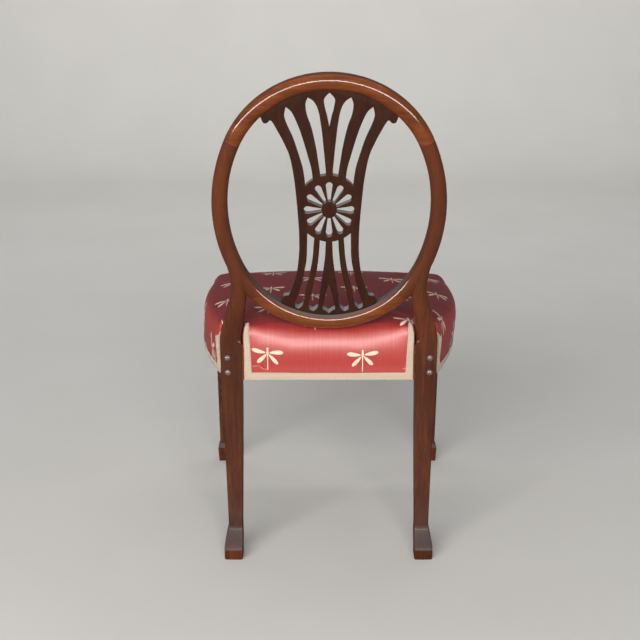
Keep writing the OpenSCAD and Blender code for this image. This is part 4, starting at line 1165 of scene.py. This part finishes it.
def pad_point(i, j):
    s = ROUND[i % COUNT]
    p = skin_point(s, *RINGS[min(j, len(RINGS) - 3)])
    n = Vector((s["nx"], -s["ny"], 0))
    p = Vector((MID[0], HEEL_Y - MID[1], p.z)).lerp(p, 0.972) - n * 0.0035
    p.z = mix(HESSIAN_TOP, p.z, 0.88) if p.z > HESSIAN_TOP else p.z
    return p


pad_bm = wrapped_grid(COUNT, len(RINGS) - 3, pad_point, ends=True)
pad = piece("hair_stuffing", pad_bm, filling, "seat_stuffing", 60)
print("stuffing", len(pad.data.polygons))

# %% [markdown]
# The braid that covers the tacks. It is a woven ribbon with a nubbly face and slightly
# scalloped edges. Its line is mitred at the corners, where it turns from the lower edge of the
# seat up beside the legs, and every point of it lies on the blown up cover.

# %% A ribbon of braid
BRAID_W, BRAID_T = 0.0145, 0.0018
BRAID_STEP, STATION_STEP, SCALLOP = 0.0016, 0.0071, 0.0042
FRONT_STEPS, BACK_STEPS = 12, 4


def braid_line(outer, inner):
    """Pairs of points along the outer and the inner edge, evenly spaced."""
    pairs = []
    for (a0, b0), (a1, b1) in zip(zip(outer, inner), zip(outer[1:], inner[1:])):
        mid0 = wall((a0[0] + b0[0]) / 2, (a0[1] + b0[1]) / 2)
        mid1 = wall((a1[0] + b1[0]) / 2, (a1[1] + b1[1]) / 2)
        stations = abs(a1[0] - a0[0])
        length = (mid1 - mid0).length if stations < 1 else stations * STATION_STEP
        n = max(2, round(length / BRAID_STEP))
        for k in range(n):
            t = k / n
            pairs.append(((mix(a0[0], a1[0], t), mix(a0[1], a1[1], t)),
                          (mix(b0[0], b1[0], t), mix(b0[1], b1[1], t))))
    pairs.append((outer[-1], inner[-1]))
    return pairs


def run_lengths(line, step):
    """How far along a line each of its points lies; step measures from one to the next."""
    return list(accumulate((step(p, q) for p, q in zip(line, line[1:])), initial=0.0))


def ribbon(name, outer, inner, node):
    pairs = braid_line(outer, inner)
    around = FRONT_STEPS + BACK_STEPS
    centre = [wall((a[0] + b[0]) / 2, (a[1] + b[1]) / 2) for a, b in pairs]
    runs = run_lengths(centre, lambda p, q: (q - p).length)
    rows = []
    for (a, b), run in zip(pairs, runs):
        row = []
        beat = run * 2 * pi / SCALLOP
        edge = 0.035 * sin(beat)
        for j in range(around):
            front = j <= FRONT_STEPS
            t = j / FRONT_STEPS if front else 1 - (j - FRONT_STEPS) / BACK_STEPS
            w = mix(-edge, 1 + edge, t) if front else mix(0.02, 0.98, t)
            i, z = mix(a[0], b[0], w), mix(a[1], b[1], w)
            n = wall_normal(i, z) * OUTWARD
            spot = wall(i, z)
            spot = cover_tree.find_nearest(spot)[0].lerp(spot + n * 0.0006,
                                                         clamp((0.386 - z) / 0.012))
            cord = sin(pi * 3 * t)
            nub = 0.5 + 0.5 * sin(beat + 3.0 * cord)
            body = 1 - (2 * t - 1) ** 8
            high = 0.0004 + body * (BRAID_T * 0.62 + 0.0004 * abs(cord) + 0.0004 * nub)
            row.append(spot + n * (high if front else 0.0002))
        rows.append(row)

    def flat(u, v):
        over = v / FRONT_STEPS if v <= FRONT_STEPS else 2 - v / FRONT_STEPS
        return runs[min(int(u + 0.5), len(runs) - 1)], over * BRAID_W

    bm = wrapped_grid(len(rows) - 1, around, lambda i, j: rows[i][j % around], ends=True, uv=flat)
    obj = piece(name, bm, braid, node, 75)
    print(name, "length", round(runs[-1], 3), "faces", len(obj.data.polygons))
    return obj, runs[-1]


# %% The two braids
LOW, TOP, SIDE_TOP = RAIL_Z + 0.0004, EDGE_Z + 0.005, 0.4337
INNER = RAIL_Z + BRAID_W
step, end, foot = BRAID_W / 0.00705, 24, 23.45
rear_gimp, rear_run = ribbon(
    "rear_braid_ribbon",
    [(end, TOP), (foot, LOW), (-foot, LOW), (-end, TOP)],
    [(end - step, TOP), (foot - step, INNER), (step - foot, INNER), (step - end, TOP)],
    "rear_braid")
step, a, b = BRAID_W / 0.0067, SIDE_START - 0.5, COUNT - SIDE_START + 0.5
side_gimp, side_run = ribbon(
    "side_braid_ribbon",
    [(a, SIDE_TOP), (a, LOW), (b, LOW), (b, SIDE_TOP)],
    [(a + step, SIDE_TOP), (a + step, INNER), (b - step, INNER), (b - step, SIDE_TOP)],
    "side_braid")

# %% [markdown]
# The base of the seat: three strips of jute webbing each way, woven over and under each other
# and folded back on themselves where they are tacked to the rails. A strip is a grid bent
# along a line, given its thickness by a Solidify modifier.

# %% Webbing
WEB_W, LOW_Z, HIGH_Z = 0.050, RAIL_TOP + 0.0009, RAIL_TOP + 0.0031
MID_Z, RAIL_WOOD = mix(LOW_Z, HIGH_Z, 0.5), 0.025
WEB_T, WEB_FACES, FOLD = 0.0014, 10, 0.025
LENGTH_X = [s * (POST_IN - WEB_W / 2) for s in (-0.62, 0, 0.62)]
CROSS_Y = [mix(KICK + POST_D, POST_FACE, s) for s in (0.22, 0.50, 0.78)]


def front_in(x):
    return front_cy + sqrt((front_r - RAIL_WOOD) ** 2 - x * x)


def side_in(y):
    return side_cx + sqrt((side_r - RAIL_WOOD) ** 2 - (y - side_cy) ** 2)


def strip_line(start, end, crossings, first):
    """Heights along a strip from end to end, with the folds at its ends."""
    fold = [(0.023, HIGH_Z), (0.012, HIGH_Z), (0.0016, HIGH_Z), (0.0003, MID_Z), (0.0016, LOW_Z)]
    line = [(start + s, z) for s, z in fold]
    n = round((end - start - 2 * FOLD) / 0.006)
    for k in range(n + 1):
        s = mix(start + FOLD, end - FOLD, k / n)
        wave = 0.0
        for c, at in enumerate(crossings):
            wave += (1 if (c + first) % 2 else -1) * ease(1, 0, (abs(s - at) - 0.024) / 0.020)
        inside = ease(0, 1, min(s - start - FOLD, end - FOLD - s) / 0.012)
        line.append((s, mix(LOW_Z, MID_Z + 0.0008 * wave, inside)))
    return line + [(end - s, z) for s, z in fold[::-1]]


def strip(name, line, place, node):
    runs = run_lengths(line, lambda p, q: hypot(q[0] - p[0], q[1] - p[1]))
    bm = wrapped_grid(len(line) - 1, WEB_FACES,
                      lambda i, j: place(line[i][0], (j / WEB_FACES - 0.5) * WEB_W, line[i][1]),
                      uv=lambda u, v: (runs[round(u)], v / WEB_FACES * WEB_W))
    bmesh.ops.recalc_face_normals(bm, faces=bm.faces)
    obj = piece(name, bm, jute, node, 60)
    thicken(obj, WEB_T)


for k, x in enumerate(LENGTH_X):
    line = strip_line(0.070, front_in(abs(x) + WEB_W / 2) + 0.022, CROSS_Y, k)
    strip(f"webbing_strip_long_{k + 1}", line, lambda s, w, z: Vector((x + w, HEEL_Y - s, z)),
          "webbing_lengthwise")
for k, y in enumerate(CROSS_Y):
    reach = min(side_in(y - WEB_W / 2), side_in(y + WEB_W / 2)) + 0.011
    line = strip_line(-reach, reach, LENGTH_X, k + 1)
    strip(f"webbing_strip_cross_{k + 1}", line, lambda s, w, z: Vector((s, HEEL_Y - y - w, z)),
          "webbing_crosswise")
print("webbing laid")

# %% [markdown]
# Two flat cloths close the seat. Hessian lies over the webbing under the stuffing, and a black
# dust cover is tacked under the rails, cut round the front legs.

# %% Hessian and dust cover
CLOTH_FACES = 12


def flat_cloth(name, outline, z, finish, node, thickness):
    mid = Vector((0, HEEL_Y - MID[1], z))

    def place(i, j):
        x, y = outline[i % len(outline)]
        return mid.lerp(Vector((x, HEEL_Y - y, z)), j / CLOTH_FACES)

    bm = wrapped_grid(len(outline), CLOTH_FACES, place)
    layer = bm.loops.layers.uv["cloth"]
    for face in bm.faces:
        for loop in face.loops:
            loop[layer].uv = loop.vert.co.xy
    bmesh.ops.recalc_face_normals(bm, faces=bm.faces)
    obj = piece(name, bm, finish, node, 60)
    thicken(obj, thickness)
    xs, ys = zip(*outline)
    size = (max(xs) - min(xs), max(ys) - min(ys))
    area = sum(f.area for f in obj.data.polygons)
    min(area, size[0] * size[1])
    print(name, [round(s, 3) for s in size], round(area, 4))


def drawn_in(s, inset):
    return s["x"] - s["nx"] * inset, s["y"] - s["ny"] * inset


flat_cloth("hessian_cloth", [drawn_in(s, 0.008) for s in ROUND], RAIL_TOP + 0.0045, hessian,
           "seat_hessian", 0.0009)
DUST_IN = 0.004
behind, inside = POST_FACE - 0.002, FRONT_HALF - POST_W - 0.002
kept = [s for s in half if s["y"] < behind or abs(s["x"]) < inside]
last_side = [s for s in kept if s["y"] < behind and s["nx"] > 0.5][-1]
half_rim = []
for s in kept:
    half_rim.append(drawn_in(s, DUST_IN))
    if s is last_side:
        half_rim += [(half_rim[-1][0], behind + 0.001), (inside + 0.001, behind + 0.001),
                     (inside + 0.001, FRONT_FACE - DUST_IN)]
flat_cloth("dust_cover_cloth", half_rim + [(-x, y) for x, y in half_rim[-2:0:-1]],
           RAIL_Z - 0.0005, calico, "dust_cover", 0.0007)

# %% [markdown]
# The rails, blocks, screws, dowels and tacks keep their solids, which are exact, and take
# their own finishes. Beech rails have a straight plain grain, which runs along each of them.
# The rear rail shows by a hair between leg and braid, so it has the polished mahogany of the
# oval's rails.

# %% Finishes of the solids that stay
STAY = [(rail_wood, "front_rail back_dowels"), (wood_cross, "rear_rail"),
        (side_wood, "side_rail_left side_rail_right front_corner_blocks rear_corner_blocks"),
        (steel, "rail_screws block_screws"), (tack_metal, "dust_cover_tacks")]
for finish, names in STAY:
    for name in names.split():
        for place in nodes[name].material_slots:
            place.material = finish
print("solids finished")

# %% [markdown]
# A plain pale floor sweeps up behind the chair without a corner, so nothing shows but its soft
# shading. Shiny surfaces don't reflect it, which keeps the red and the brown deep.

# %% Floor
def floor_finish():
    f = Finish("pale_floor")
    cloud = f.noise(f.objects(), 3, 3, 0.5)
    f.feed(Base_Color=f.blend(cloud, (0.76, 0.74, 0.70), (0.82, 0.80, 0.76)),
           Roughness=0.75 + cloud * 0.1)
    return f.made


def swept_floor():
    """A straight edge drawn out along the floor, turned up through an arc and drawn upwards."""
    bm = bmesh.new()
    sweep = [bm.edges.new([bm.verts.new((x, 5, 0)) for x in (-7, 7)])]
    for vec in ((0, -8.6, 0), (0, 0, 2.6)):
        geom = bmesh.ops.extrude_edge_only(bm, edges=sweep)["geom"]
        sweep = [e for e in geom if isinstance(e, bmesh.types.BMEdge)]
        verts = [v for v in geom if isinstance(v, bmesh.types.BMVert)]
        bmesh.ops.translate(bm, verts=verts, vec=vec)
        if vec[1]:
            sweep = spun(bm, sweep + verts, (0, -3.6, 1.0), (1, 0, 0), -pi / 2, 24)
    joined_up(bm, 1e-5)
    for face in bm.faces:
        face.smooth = True
    print("floor reaches up to", round(max(v.co.z for v in bm.verts), 2), "m")
    return mesh_of("floor", bm)


mesh = swept_floor()
mesh.materials.append(floor_finish())
floor = linked("floor", mesh)
floor.visible_glossy = False

# %% [markdown]
# Four soft lights. A broad one high behind the camera lights the chair, and makes no shine. A
# long low strip behind the camera makes only shine: it draws the thin bright line along the
# rounded rail and the gloss across the satin. A faint cool one overhead adds a little shine to
# the level faces, and the last one washes the floor behind the chair.

# %% Lights
def soft_light(name, place, towards, width, height, power, colour, hidden_from):
    lamp = bpy.data.lights.new(name, "AREA")
    lamp.shape, lamp.size, lamp.size_y = "RECTANGLE", width, height
    lamp.energy, lamp.color = power, colour
    obj = linked(name, lamp)
    obj.location = place
    obj.rotation_euler = (Vector(towards) - Vector(place)).to_track_quat("-Z", "Y").to_euler()
    setattr(obj, "visible_" + hidden_from, False)


soft_light("high_behind", (0.9, 3.9, 2.3), (0, 0, 0.5), 5.0, 1.8, 225, (1.0, 0.985, 0.96),
           "glossy")
soft_light("low_behind", (0.4, 3.7, 1.25), (0, 0, 0.75), 8.5, 0.5, 350, (1.0, 0.96, 0.94),
           "diffuse")
soft_light("overhead", (0, 0.9, 3.2), (0, 0.1, 0.5), 4.0, 1.6, 14, (0.84, 0.92, 1.0), "diffuse")
soft_light("backdrop_wash", (0, -2.0, 3.4), (0, -4.3, 0.6), 6.0, 0.8, 60, (1, 1, 1), "glossy")
print("lights", len(bpy.data.lights))

# %% [markdown]
# What the camera sees behind the floor is pale, while the room that lights the chair is dim.

# %% Room
world = bpy.data.worlds.new("studio")
world.use_nodes = True
room = world.node_tree
dim, pale = room.nodes["Background"], room.nodes.new("ShaderNodeBackground")
dim.inputs[0].default_value, dim.inputs[1].default_value = (0.20, 0.22, 0.25, 1), 0.5
pale.inputs[0].default_value, pale.inputs[1].default_value = (0.62, 0.61, 0.58, 1), 0.8
choice, seen = room.nodes.new("ShaderNodeMixShader"), room.nodes.new("ShaderNodeLightPath")
for out, into in ((seen.outputs["Is Camera Ray"], choice.inputs[0]),
                  (dim.outputs[0], choice.inputs[1]), (pale.outputs[0], choice.inputs[2]),
                  (choice.outputs[0], room.nodes["World Output"].inputs[0])):
    room.links.new(out, into)
bpy.context.scene.world = world
bpy.context.scene.view_settings.view_transform = "Standard"
print("lit")
